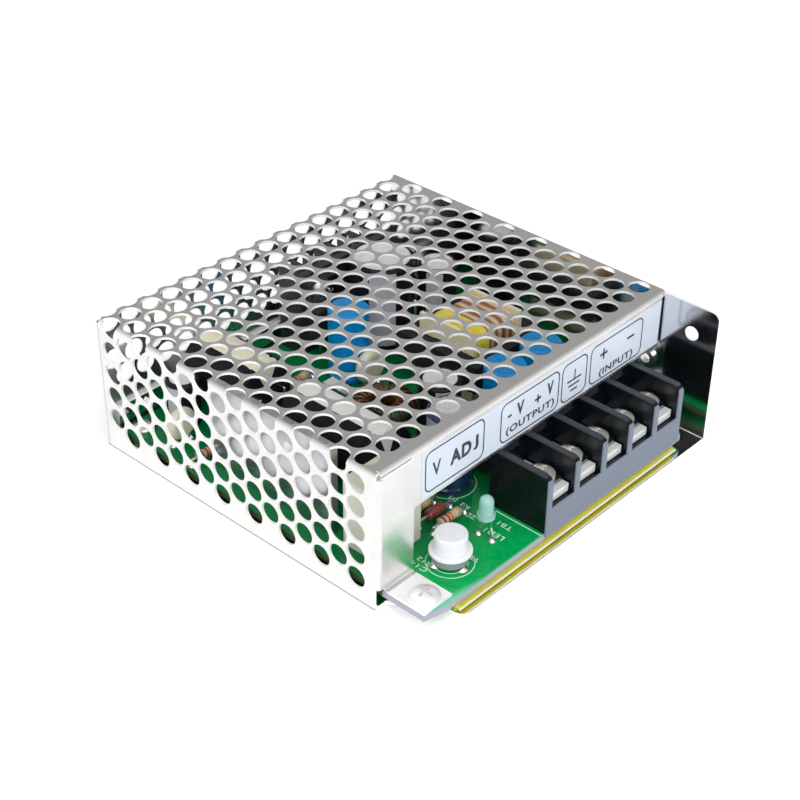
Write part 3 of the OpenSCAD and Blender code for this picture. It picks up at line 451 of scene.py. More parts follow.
@dataclass(frozen=True)
class PatchedFinish(Finish):
    """Finish with box-shaped parts that look different."""

    patches: tuple[Patch, ...] = ()

    def dress(self, surface: Surface) -> None:
        """Feeds colour, roughness, metallic and bump.

        Args:
            surface: the material in the making.
        """
        mottle, grain = surface.grain(self.grain_size)
        self.roughen(surface, grain)
        colour, rough = self.tint(surface, mottle), self.gloss(surface, mottle)
        self.lay_patches(surface, colour, rough, self.metallic)

    def lay_patches(self, surface: Surface, colour: Socket, rough: Socket, metallic: object) -> None:
        """Lays the patches over the plain face and feeds the shader.

        Args:
            surface: the material in the making.
            colour: colour of the plain face.
            rough: its roughness.
            metallic: its metallic share.
        """
        w = surface.w
        for patch in self.patches:
            middle, half = (patch.low + patch.high) / 2, (patch.high - patch.low) / 2
            box = w.group(surface.effects.box, Vector=surface.place, Middle=middle, Half=half)
            mask = box.outputs["Mask"]
            colour = w.mix(mask, colour, patch.colour)
            rough = w.span(mask, rough, patch.roughness)
            if patch.metallic != self.metallic:
                metallic = w.span(mask, metallic, patch.metallic)
        surface.feed("Base Color", colour)
        surface.feed("Roughness", rough)
        surface.feed("Metallic", metallic)


@dataclass(frozen=True)
class FilmFinish(PatchedFinish):
    """Thin coloured film that light goes through."""

    depth: float = 2.5 * MM
    depth_by_colour: Colour = (1.0, 1.0, 0.4)

    def constants(self) -> dict[str, object]:
        """Values that are the same all over the surface.

        Returns:
            The values by name of the shader's socket.
        """
        return {
            **super().constants(),
            "Subsurface Weight": 1.0,
            "Subsurface Scale": self.depth,
            "Subsurface Radius": self.depth_by_colour,
        }


@dataclass(frozen=True)
class CutZone:
    """Flat panel of a sheet, where faces square to it are cut edges; lengths in metres."""

    axis: Axis
    outer: float
    inner: float
    limit_axis: Axis = Axis.X
    limit_low: float = -1.0
    limit_high: float = 1.0


@dataclass(frozen=True)
class SheetFinish(PatchedFinish):
    """Plated sheet with faint marks; its cuts have a bright sheared band, partly a painted highlight, and a
    dark torn band, partly painted shade.
    """

    zones: tuple[CutZone, ...] = ()
    sheared_highlight: Colour = (0.97, 0.97, 0.97)
    torn_shade: Colour = (0.10, 0.10, 0.10)
    highlight_share: float = 0.95
    mark_roughness: float = 0.06
    cut_roughness: float = 0.5
    cut_metallic: float = 0.2
    loose: float = 0.02 * MM

    def dress(self, surface: Surface) -> None:
        """Feeds colour, roughness, metallic and bump, with the cut edges apart.

        Args:
            surface: the material in the making.
        """
        w = surface.w
        mottle, grain = surface.grain(self.grain_size)
        marks = w.group(surface.effects.marks, Vector=surface.place).outputs["Mask"]
        cut = self.cut_mask(surface, 1.0)
        bright = self.cut_mask(surface, self.highlight_share)
        # Cut faces: near white as a painted highlight over the sheared share, near black as painted shade on
        # the rest of the thickness.
        colour = w.mix(bright, w.mix(cut, self.tint(surface, mottle), self.torn_shade), self.sheared_highlight)
        rough = w.math("MULTIPLY_ADD", marks, self.mark_roughness, self.gloss(surface, mottle))
        rough = w.span(cut, rough, self.cut_roughness)
        self.roughen(surface, grain)
        self.lay_patches(surface, colour, rough, w.span(cut, self.metallic, self.cut_metallic))

    def cut_mask(self, surface: Surface, share: float) -> Socket:
        """Mask of the cut edges, from the sheet's outer face inwards.

        Args:
            surface: the material in the making.
            share: share of the thickness that is masked.

        Returns:
            The mask, 1 on cut edges.
        """
        w = surface.w
        spot, facing = w.parts(surface.place), surface.facing()
        total: object = 0.0
        for zone in self.zones:
            inner = zone.outer + (zone.inner - zone.outer) * share
            mask = w.group(
                surface.effects.panel_cut,
                Along=spot[zone.axis.value],
                Facing=facing[zone.axis.value],
                Middle=(zone.outer + inner) / 2,
                Half=abs(zone.outer - inner) / 2 + self.loose,
            ).outputs["Mask"]
            middle = (zone.limit_low + zone.limit_high) / 2
            near = w.math("COMPARE", spot[zone.limit_axis.value], middle, zone.limit_high - middle)
            total = w.math("MAXIMUM", total, w.math("MULTIPLY", mask, near))
        return total


@dataclass(frozen=True)
class LaminateFinish(Finish):
    """Circuit board: glossy mask over faint tracks and bare pale edges; painted shade darkens the top inside
    the case and the edges inside it or facing right, and the pale front rim is partly a thin coat and partly
    a painted reflection.
    """

    track: Colour = (0.02, 0.42, 0.13)
    track_cells: float = 190.0
    track_fold: float = 0.25
    track_edge: Spot = (0.10, 0.13)
    track_share: float = 0.15
    track_rise: float = 0.6
    edge: Colour = (0.36, 0.37, 0.44)
    shaded_edge: Colour = (0.05, 0.10, 0.03)
    edge_roughness: float = 0.6
    edge_slope: float = 0.5
    right_slope: Spot = (0.4, 0.6)
    # Pale front rim, partly a thinner coat and partly a painted reflection.
    bare: Colour = (0.24, 0.62, 0.50)
    corner: Spot = (0.0, 0.0)
    bare_width: Spot = (2.2 * MM, 0.5 * MM)
    bare_reach: Spot = (8.0 * MM, 18.0 * MM)
    bare_share: float = 0.75
    bare_core: float = 0.2
    bare_fade: float = 0.5
    # Colour, share, start and spread of the painted shade inside the case.
    inner_shade: Colour = (0.0, 0.12, 0.035)
    inner_shade_share: float = 0.7
    shade_from: float = 0.0
    shade_over: float = 6.0 * MM

    def dress(self, surface: Surface) -> None:
        """Feeds colour, roughness and bump.

        Args:
            surface: the material in the making.
        """
        w = surface.w
        mottle, grain = surface.grain(self.grain_size)
        spot, facing = w.parts(surface.place), surface.facing()
        track = self.tracks(surface)
        top = w.mix(w.math("MULTIPLY", track, self.track_share), self.tint(surface, mottle), self.track)
        # Painted shade: the top darkens from the strip inwards, where the case shades the board.
        full = self.shade_from + self.shade_over
        top = w.mix(w.span(spot[1], 0.0, self.inner_shade_share, self.shade_from, full), top, self.inner_shade)
        # Pale front rim: partly a thinner coat, partly a painted reflection.
        top = w.mix(self.rim(w, spot), top, self.bare)
        inside = w.math("GREATER_THAN", spot[1], self.shade_from)
        shaded = w.math("MAXIMUM", inside, w.span(facing[0], 0.0, 1.0, *self.right_slope))
        side = w.math("COMPARE", facing[2], 0.0, self.edge_slope)
        surface.feed("Base Color", w.mix(side, top, w.mix(shaded, self.edge, self.shaded_edge)))
        side_rough = w.math("MULTIPLY", side, self.edge_roughness)
        surface.feed("Roughness", w.math("MAXIMUM", self.gloss(surface, mottle), side_rough))
        self.roughen(surface, w.math("MULTIPLY_ADD", track, self.track_rise, grain))

    def tracks(self, surface: Surface) -> Socket:
        """Mask of the tracks.

        Args:
            surface: the material in the making.

        Returns:
            The mask.
        """
        w = surface.w
        cells = w.add("ShaderNodeTexVoronoi", feature="F1", distance="MANHATTAN")
        w.feed(cells.inputs["Vector"], surface.place)
        cells.inputs["Scale"].default_value = self.track_cells
        lines = w.math("PINGPONG", cells.outputs["Distance"], self.track_fold)
        return w.span(lines, 0.0, 1.0, *self.track_edge)

    def rim(self, w: Wiring, spot: Sequence[Socket]) -> Socket:
        """Mask of the pale front rim, broad at the left corner; partly a thinner coat and partly a painted
        reflection.

        Args:
            w: the material's wiring.
            spot: the three object coordinates.

        Returns:
            The mask.
        """
        left, front = self.corner
        start, end = (left + reach for reach in self.bare_reach)
        width = w.span(spot[0], *self.bare_width, start, end)
        share = w.math("DIVIDE", w.math("SUBTRACT", spot[1], front), width)
        fade = w.span(spot[0], 1.0, self.bare_fade, start, end)
        return w.math("MULTIPLY", w.span(share, self.bare_share, 0.0, self.bare_core, 1.0), fade)


@dataclass(frozen=True)
class SleeveFinish(Finish):
    """Shrunk sleeve on a lying capacitor, with a pale printed stripe along it; angles in radians."""

    stripe: Colour = (0.80, 0.79, 0.62)
    centre: Spot = (0.0, 0.0)
    turn: float = QUARTER_TURN
    half: float = 0.5

    def dress(self, surface: Surface) -> None:
        """Feeds colour, roughness and bump, with the stripe.

        Args:
            surface: the material in the making.
        """
        w = surface.w
        mottle, grain = surface.grain(self.grain_size)
        spot = w.parts(surface.place)
        stripe = w.group(
            surface.effects.stripe,
            Across=w.math("SUBTRACT", spot[0], self.centre[0]),
            Up=w.math("SUBTRACT", spot[2], self.centre[1]),
            Turn=self.turn,
            Half=self.half,
        ).outputs["Mask"]
        surface.feed("Base Color", w.mix(stripe, self.tint(surface, mottle), self.stripe))
        surface.feed("Roughness", self.gloss(surface, mottle))
        self.roughen(surface, grain)


@dataclass(frozen=True)
class WoundFinish(Finish):
    """Layer of wire or tape wound round X: ridges along the winding, darker in the grooves and lighter on the
    crests as painted shade and highlight.
    """

    pitch: float = 0.6 * MM
    mottle_share: float = 0.4
    ridge_share: float = 0.7
    colour_range: Spot = (0.3, 0.75)

    def dress(self, surface: Surface) -> None:
        """Feeds colour, roughness and ridges.

        Args:
            surface: the material in the making.
        """
        w = surface.w
        mottle, _ = surface.grain(self.grain_size)
        half = self.pitch / 2
        ridge = w.span(w.math("PINGPONG", w.parts(surface.place)[0], half), 0.0, 1.0, 0.0, half)
        # Painted shade and highlight: the colour darkens into the grooves between turns and lightens on their
        # crests, over a random mottle.
        share = w.math("MULTIPLY_ADD", mottle, self.mottle_share, w.math("MULTIPLY", ridge, self.ridge_share))
        surface.feed("Base Color", self.tint(surface, w.span(share, 0.0, 1.0, *self.colour_range)))
        surface.feed("Roughness", self.gloss(surface, mottle))
        self.roughen(surface, ridge)


@dataclass(frozen=True)
class LensFinish(Finish):
    """Milky coloured plastic that lets some light through."""

    def constants(self) -> dict[str, object]:
        """Values that are the same all over the surface.

        Returns:
            The values by name of the shader's socket.
        """
        return {
            **super().constants(),
            "Transmission Weight": 0.5,
            "IOR": 1.45,
            "Subsurface Weight": 0.2,
            "Subsurface Scale": 1.0 * MM,
        }


@dataclass(frozen=True)
class FloorFinish(Finish):
    """White studio table that is lit from below as well."""

    glow: float = 0.22

    def constants(self) -> dict[str, object]:
        """Values that are the same all over the surface.

        Returns:
            The values by name of the shader's socket.
        """
        white = (1.0, 1.0, 1.0, 1.0)
        return {**super().constants(), "Emission Color": white, "Emission Strength": self.glow}


def corners(verts: Sequence[Vert]) -> Corners:
    """Lowest and highest corner of some vertices."""
    low = Vector([min(v.co[k] for v in verts) for k in range(3)])
    return low, Vector([max(v.co[k] for v in verts) for k in range(3)])


def room(size: float) -> Vector:
    """The same room on all three axes, from a size in millimetres."""
    return Vector((size, size, size)) * MM


def in_metres(box: Box) -> Box:
    """A box that is given in millimetres."""
    return tuple(value * MM for value in box)


def merged_copy(node: str) -> Mesh:
    """A bmesh copy of a CAD node, with its loose triangles joined."""
    bm = bmesh.new()
    bm.from_mesh(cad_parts[node].data)
    bmesh.ops.remove_doubles(bm, verts=bm.verts, dist=WELD)
    return bm


def islands(bm: Mesh) -> list[list[Vert]]:
    """Finds the separate solids of a mesh.

    Args:
        bm: the mesh, with its doubles merged.

    Returns:
        The vertices of each solid.
    """
    groups = []
    seen: set[Vert] = set()
    for first in bm.verts:
        if first in seen:
            continue
        seen.add(first)
        group = [first]
        for vert in group:
            fresh = {edge.other_vert(vert) for edge in vert.link_edges} - seen
            seen |= fresh
            group.extend(fresh)
        groups.append(group)
    return groups


def lumps(node: str) -> list[Corners]:
    """Finds the box of each separate solid in a CAD node.

    Args:
        node: the CAD node.

    Returns:
        Lowest and highest corners, from left to right.
    """
    bm = merged_copy(node)
    boxes = [corners(group) for group in islands(bm)]
    bm.free()
    return sorted(boxes, key=lambda box: (round(box[0].x, 6), round(box[0].y, 6)))


def feet(node: str, board_top: float, clear: float) -> list[Vector]:
    """Finds where the leads in a CAD node enter the board.

    Args:
        node: the CAD node.
        board_top: height of the board's top.
        clear: leads that rise less than this above the board are left out.

    Returns:
        Places on the board's top, from left to right.
    """
    bm = merged_copy(node)
    short = [v for group in islands(bm) if corners(group)[1].z < board_top + clear for v in group]
    bmesh.ops.delete(bm, geom=short, context="VERTS")
    whole = bm.verts[:] + bm.edges[:] + bm.faces[:]
    level = {"plane_co": (0, 0, board_top), "plane_no": (0, 0, 1)}
    bmesh.ops.bisect_plane(bm, geom=whole, clear_outer=True, **level)
    boxes = [corners(group) for group in islands(bm)]
    bm.free()
    places = [Vector(((low.x + high.x) / 2, (low.y + high.y) / 2, board_top)) for low, high in boxes]
    return sorted(places, key=lambda spot: (round(spot.x, 6), round(spot.y, 6)))


class PieceMesh:
    """Mesh of one new piece, gathered from turned and printed shapes."""

    CORNER_STEPS = 8
    LETTER_STEPS = 4
    LETTER_SPACE = 1.12
    LETTER_DEPTH = 0.05

    def __init__(self, thickness: float = 0.0) -> None:
        """Starts an empty mesh; thickness is the height of its print, in metres."""
        self.bm = bmesh.new()
        self.thickness = thickness

    def take(self, part: Mesh, place: Matrix) -> None:
        """Moves a shape to its place and into the piece.

        Args:
            part: the shape, freed here.
            place: matrix from the shape's frame to the part's frame.
        """
        bmesh.ops.transform(part, matrix=place, verts=part.verts)
        mesh = bpy.data.meshes.new("part")
        part.to_mesh(mesh)
        part.free()
        self.bm.from_mesh(mesh)
        bpy.data.meshes.remove(mesh)

    def revolve(self, profile: Sequence[Spot], place: Matrix, steps: int) -> None:
        """Adds a turned ring.

        Args:
            profile: radius and height of its points, in metres, closed on itself.
            place: matrix from the turning frame, with its axis along Z, to the part's frame.
            steps: facets in a turn.
        """
        part = bmesh.new()
        points = [part.verts.new((radius, 0.0, height)) for radius, height in profile]
        edges = [part.edges.new(pair) for pair in zip(points, points[1:] + points[:1])]
        about = {"cent": (0, 0, 0), "axis": (0, 0, 1), "angle": 2 * math.pi}
        bmesh.ops.spin(part, geom=points + edges, steps=steps, use_merge=True, **about)
        bmesh.ops.remove_doubles(part, verts=part.verts, dist=WELD)
        bmesh.ops.recalc_face_normals(part, faces=part.faces)
        for face in part.faces:
            face.smooth = True
        self.take(part, place)

    def bar(self, box: Box, place: Matrix) -> None:
        """Prints a rectangular bar.

        Args:
            box: left, right, bottom and top in the print's plane, in metres.
            place: matrix from the print's plane to the part's frame.
        """
        left, right, bottom, top = box
        middle = ((left + right) / 2, (bottom + top) / 2, self.thickness / 2)
        part = bmesh.new()
        bmesh.ops.create_cube(part, size=1.0)
        bmesh.ops.scale(part, vec=(right - left, top - bottom, self.thickness), verts=part.verts)
        bmesh.ops.translate(part, vec=middle, verts=part.verts)
        self.take(part, place)

    def outline(self, box: Box, radius: float, line: float, place: Matrix) -> None:
        """Prints the outline of a round-cornered rectangle.

        Args:
            box: left, right, bottom and top in the print's plane, in metres.
            radius: corner radius.
            line: width of the line.
            place: matrix from the print's plane to the part's frame.
        """
        left, right, bottom, top = box
        middle = ((left + right) / 2, (bottom + top) / 2, 0.0)
        part = bmesh.new()
        bmesh.ops.create_grid(part, x_segments=1, y_segments=1, size=0.5)
        bmesh.ops.scale(part, vec=(right - left, top - bottom, 1.0), verts=part.verts)
        bmesh.ops.translate(part, vec=middle, verts=part.verts)
        bmesh.ops.bevel(
            part,
            geom=part.verts[:],
            offset=radius,
            offset_type="OFFSET",
            affect="VERTICES",
            segments=self.CORNER_STEPS,
            profile=0.5,
            material=-1,
        )
        panel = part.faces[:]
        bmesh.ops.inset_region(part, faces=panel, thickness=line, use_boundary=True, use_even_offset=True)
        bmesh.ops.delete(part, geom=panel, context="FACES")
        solid = bmesh.ops.extrude_face_region(part, geom=part.faces[:])
        lifted = [item for item in solid["geom"] if isinstance(item, Vert)]
        bmesh.ops.translate(part, vec=(0.0, 0.0, self.thickness), verts=lifted)
        bmesh.ops.recalc_face_normals(part, faces=part.faces)
        self.take(part, place)

    def lettering(self, text: str, box: Box, weight: float, place: Matrix) -> None:
        """Prints a word that fills a box.

        Args:
            text: the letters.
            box: left, right, bottom and top in the print's plane, in metres.
            weight: how far the strokes are widened, as a share of the letters' size.
            place: matrix from the print's plane to the part's frame.
        """
        curve = bpy.data.curves.new("letters", "FONT")
        curve.body = text
        curve.offset = weight
        curve.extrude = self.LETTER_DEPTH
        curve.resolution_u = self.LETTER_STEPS
        curve.space_character = self.LETTER_SPACE
        holder = bpy.data.objects.new("letters", curve)
        bpy.context.scene.collection.objects.link(holder)
        view = bpy.context.evaluated_depsgraph_get()
        mesh = bpy.data.meshes.new_from_object(holder.evaluated_get(view))
        part = bmesh.new()
        part.from_mesh(mesh)
        bpy.data.objects.remove(holder)
        bpy.data.curves.remove(curve)
        bpy.data.meshes.remove(mesh)
        bmesh.ops.remove_doubles(part, verts=part.verts, dist=LETTER_WELD)
        low, high = corners(part.verts)
        size = high - low
        left, right, bottom, top = box
        growth = ((right - left) / size.x, (top - bottom) / size.y, self.thickness / size.z)
        bmesh.ops.translate(part, vec=-low, verts=part.verts)
        bmesh.ops.scale(part, vec=growth, verts=part.verts)
        bmesh.ops.translate(part, vec=(left, bottom, 0.0), verts=part.verts)
        self.take(part, place)

    def shell_strip(self, centre: Spot, radius: float, rise: Spot, sweep: Spot, steps: int) -> None:
        """Prints a stripe along an upright round sleeve.

        Args:
            centre: axis of the sleeve, in metres.
            radius: radius of the stripe.
            rise: bottom and top of the stripe.
            sweep: angle of the stripe's first edge about +Z, and the angle that it covers.
            steps: facets across the stripe.
        """
        low, high = rise
        turn, width = sweep
        part = bmesh.new()
        start = Vector((radius * math.cos(turn), radius * math.sin(turn), low))
        foot = part.verts.new(start)
        head = part.verts.new(start + Vector((0.0, 0.0, high - low)))
        line = [foot, head, part.edges.new((foot, head))]
        about = {"cent": (0, 0, 0), "axis": (0, 0, 1), "angle": width}
        bmesh.ops.spin(part, geom=line, steps=steps, use_merge=False, **about)
        bmesh.ops.recalc_face_normals(part, faces=part.faces)
        bmesh.ops.solidify(part, geom=part.faces[:], thickness=self.thickness)
        self.take(part, Matrix.Translation((*centre, 0.0)))

    def place(self, name: str, material: bpy.types.Material, slot: Slot) -> None:
        """Turns the mesh into a piece that rides on the case.

        Args:
            name: the piece's name.
            material: its finish.
            slot: the record's material slot; not used.
        """
        mesh = bpy.data.meshes.new(name)
        self.bm.to_mesh(mesh)
        self.bm.free()
        mesh.materials.append(material)
        piece = bpy.data.objects.new(name, mesh)
        bpy.context.scene.collection.objects.link(piece)
        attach(piece, Body.CASE.value)
        LOG.info("piece %s: %d faces", name, len(mesh.polygons))


@dataclass
class Assembly:
    """Sub-assembly that is built and dressed with the shared node groups."""

    effects: SharedEffects

    def coat(self, finish: Finish, *names: str) -> None:
        """Puts a finish on CAD nodes.

        Args:
            finish: the finish.
            names: CAD nodes.
        """
        material = finish.make(self.effects)
        for name in names:
            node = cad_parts[name]
            if not node.material_slots:
                node.data.materials.append(material)
            for holder in node.material_slots:
                holder.material = material
            LOG.info("dressed %s with %s", name, material.name)

    def add(self, piece: PieceMesh, finish: Finish, slot: Slot) -> None:
        """Adds a new piece that is named after its finish."""
        self.add_as(finish.name, piece, finish, slot)

    def add_as(self, name: str, piece: PieceMesh, finish: Finish, slot: Slot) -> None:
        """Adds a new piece under a name of its own."""
        piece.place(name, finish.make(self.effects), slot)


@dataclass
class CoverSheet(Assembly):
    """Folded perforated cover; sizes in metres."""

    sheet: float = 0.6 * MM
    fold: float = 1.1 * MM
    flange_step: float = 0.7 * MM
    flange_w: float = 10.5 * MM
    tab_z: float = 4.3 * MM
    # Height of the painted shadow line along the cover's foot.
    foot_shadow: float = 0.3 * MM

    def build(self) -> None:
        """Puts the plating on the cover, with its tab rougher and painted paler as a highlight, a painted
        shadow line along its foot and a painted shadow gap at the strip's end.
        """
        low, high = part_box("cover")
        label_low, label_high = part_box("legend_label")
        strip, flange = label_high.y, label_high.y - self.flange_step
        inner = low.x + self.fold
        slack = room(0.05)
        left_wall = (Axis.Y, flange + self.fold, high.y - self.fold)
        zones = (
            CutZone(Axis.Z, high.z, high.z - self.sheet),
            CutZone(Axis.X, low.x, low.x + self.sheet, *left_wall),
            CutZone(Axis.Y, high.y, high.y - self.sheet, Axis.X, inner),
            CutZone(Axis.Y, strip, strip + self.sheet, Axis.X, inner),
            CutZone(Axis.Y, flange, flange + self.sheet, Axis.X, inner),
        )
        # The tab is the same plated sheet, rougher here, and painted paler and less metallic as a painted
        # highlight.
        tab_highlight_low = Vector((low.x, low.y, self.tab_z)) - slack
        tab_highlight_high = Vector((low.x + self.flange_w, flange - self.fold, self.tab_z + self.sheet)) + slack
        # Painted shadow: a dark line along the foot of the left wall, as a contact shadow.
        foot_shadow_high = Vector((inner, high.y, self.foot_shadow))
        # Painted shadow: the strip's right end is painted near black as the shadow gap next to the wall.
        end_shadow_low = Vector((label_high.x, strip, label_low.z))
        end_shadow_high = Vector((high.x, strip + self.sheet, high.z - self.fold)) + slack
        patches = (
            Patch(tab_highlight_low, tab_highlight_high, (0.92, 0.91, 0.92), 0.42, 0.35),
            Patch(low - slack, foot_shadow_high, (0.36, 0.36, 0.38), 0.4, 1.0),
            Patch(end_shadow_low, end_shadow_high, (0.02, 0.02, 0.025), 0.5),
        )
        # The hole walls get the painted highlight and, on the inner twentieth of the sheet, the painted
        # shade.
        plating = SheetFinish(
            "plated_cover",
            (0.85, 0.845, 0.835),
            (0.79, 0.785, 0.78),
            (0.24, 0.32),
            metallic=1.0,
            grain_size=2600.0,
            bump=0.006,
            zones=zones,
            patches=patches,
        )
        self.coat(plating, "cover")


@dataclass
class Chassis(Assembly):
    """Folded chassis, the insulating sheet on it and the case's fasteners; sizes in metres."""

    sheet: float = 1.0 * MM
    fold: float = 1.5 * MM
    # Depth of the painted highlight along the flap's front edge.
    flap_highlight_depth: float = 0.22 * MM

    def build(self) -> None:
        """Puts the plating on the chassis, and dresses the sheet and fasteners."""
        wall_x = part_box("chassis_wall")[1].x
        lip_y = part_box("chassis_lip")[1].y
        panels = {
            "chassis_wall": CutZone(Axis.X, wall_x, wall_x - self.sheet, Axis.Z, self.fold),
            "chassis_base": CutZone(Axis.Z, 0.0, self.sheet),
            "chassis_lip": CutZone(Axis.Y, lip_y, lip_y - self.sheet, Axis.Z, self.fold),
        }
        for node, zone in panels.items():
            # The cut faces are painted near white over the whole thickness, as a highlight.
            plating = SheetFinish(
                f"plated_{node}",
                (0.86, 0.86, 0.87),
                (0.80, 0.80, 0.815),
                (0.10, 0.14),
                metallic=1.0,
                grain_size=2200.0,
                bump=0.006,
                zones=(zone,),
                highlight_share=1.0,
            )
            self.coat(plating, node)
        self.dress_film()
        self.dress_fasteners()

    def dress_film(self) -> None:
        """Puts the finish on the insulating sheet, with a painted highlight along the cut edge of its front
        flap.
        """
        low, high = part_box("insulating_sheet")
        flap_highlight_high = Vector((high.x, low.y + self.flap_highlight_depth, high.z))
        # Painted highlight: a pale band along the flap's front cut edge, where light catches it.
        edge = Patch(low - room(1.0), flap_highlight_high, (0.86, 0.83, 0.52), 0.4)
        film = FilmFinish(
            "yellow_film",
            (0.50, 0.46, 0.07),
            (0.44, 0.42, 0.07),
            (0.18, 0.28),
            coat=0.2,
            grain_size=900.0,
            patches=(edge,),
        )
        self.coat(film, "insulating_sheet")

    def dress_fasteners(self) -> None:
        """Puts a bright plating on the case's fasteners, and a dull one on the tab's screw."""
        bright = ((0.80, 0.79, 0.79), (0.68, 0.67, 0.67), (0.12, 0.26), 1.0)
        nickel = Finish("nickel_plating", *bright, grain_size=2500.0)
        screws = ("cover_screws", "board_screws", "device_screws")
        self.coat(nickel, "clinch_nuts", "board_spacers", *screws)
        pale = ((0.90, 0.88, 0.88), (0.80, 0.78, 0.78), (0.34, 0.46), 0.5)
        self.coat(Finish("dull_plating", *pale, grain_size=2500.0), "tab_screw")


@dataclass
class Word:
    """Word of a legend: its letters, the box that they fill, in millimetres, and their weight."""

    text: str
    box: Box
    weight: float


@dataclass
class Legend(Assembly):
    """Printed label on the front strip, with generic terminal marks; sizes in millimetres."""

    line: float = 0.36
    radius: float = 1.9
    thickness: float = 0.02
    frames: tuple[Box, ...] = (
        (-34.25, -15.75, 21.95, 32.2),
        (-10.55, 9.35, 21.8, 31.9),
        (10.2, 19.25, 21.75, 31.8),
        (20.35, 39.95, 21.7, 31.8),
    )
    words: tuple[Word, ...] = (
        Word("V", (-32.0, -29.35, 25.3, 28.85), 0.02),
        Word("AD", (-26.5, -19.85, 25.17, 28.8), 0.045),
        Word("J", (-19.15, -17.65, 25.17, 28.8), 0.045),
        Word("V", (-5.25, -2.75, 26.8, 30.1), 0.045),
        Word("V", (5.05, 7.25, 26.8, 30.1), 0.045),
        Word("(OUTPUT)", (-8.55, 7.85, 22.95, 25.35), 0.03),
        Word("(INPUT)", (24.05, 36.65, 22.25, 24.6), 0.03),
    )
    output_signs: tuple[Box, ...] = (
        (-8.2, -6.9, 27.75, 28.32),
        (0.9, 3.1, 27.5, 28.06),
        (1.72, 2.28, 26.7, 28.85),
    )
    input_signs: tuple[Box, ...] = (
        (23.9, 26.7, 28.06, 28.64),
        (25.02, 25.58, 27.0, 29.7),
        (34.0, 36.65, 27.94, 28.52),
    )
    earth_sign: tuple[Box, ...] = (
        (14.65, 15.05, 26.75, 29.25),
        (12.25, 17.25, 26.47, 26.93),
        (12.75, 16.65, 25.17, 25.63),
        (13.5, 16.0, 23.82, 24.28),
    )

    def build(self) -> None:
        """Prints the frames, signs and words, and dresses the label."""
        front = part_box("legend_label")[0].y
        place = Matrix.Translation((0.0, front, 0.0)) @ Matrix.Rotation(QUARTER_TURN, 4, "X")
        piece = PieceMesh(self.thickness * MM)
        for box in self.frames:
            piece.outline(in_metres(box), self.radius * MM, self.line * MM, place)
        for box in self.output_signs + self.input_signs + self.earth_sign:
            piece.bar(in_metres(box), place)
        for word in self.words:
            piece.lettering(word.text, in_metres(word.box), word.weight, place)
        black = ((0.022, 0.024, 0.034), (0.05, 0.052, 0.065), (0.35, 0.5))
        self.add(piece, Finish("legend_ink", *black, grain_size=4000.0), Slot.LEGEND_PRINT)
        pale = ((0.65, 0.72, 0.83), (0.61, 0.68, 0.79), (0.28, 0.4))
        self.coat(Finish("legend_film", *pale, coat=0.2, grain_size=700.0), "legend_label")


@dataclass
class BoardWord:
    """Word on the board, read from the right; millimetres from the board's front left corner."""

    text: str
    start: Spot
    height: float
    length: float


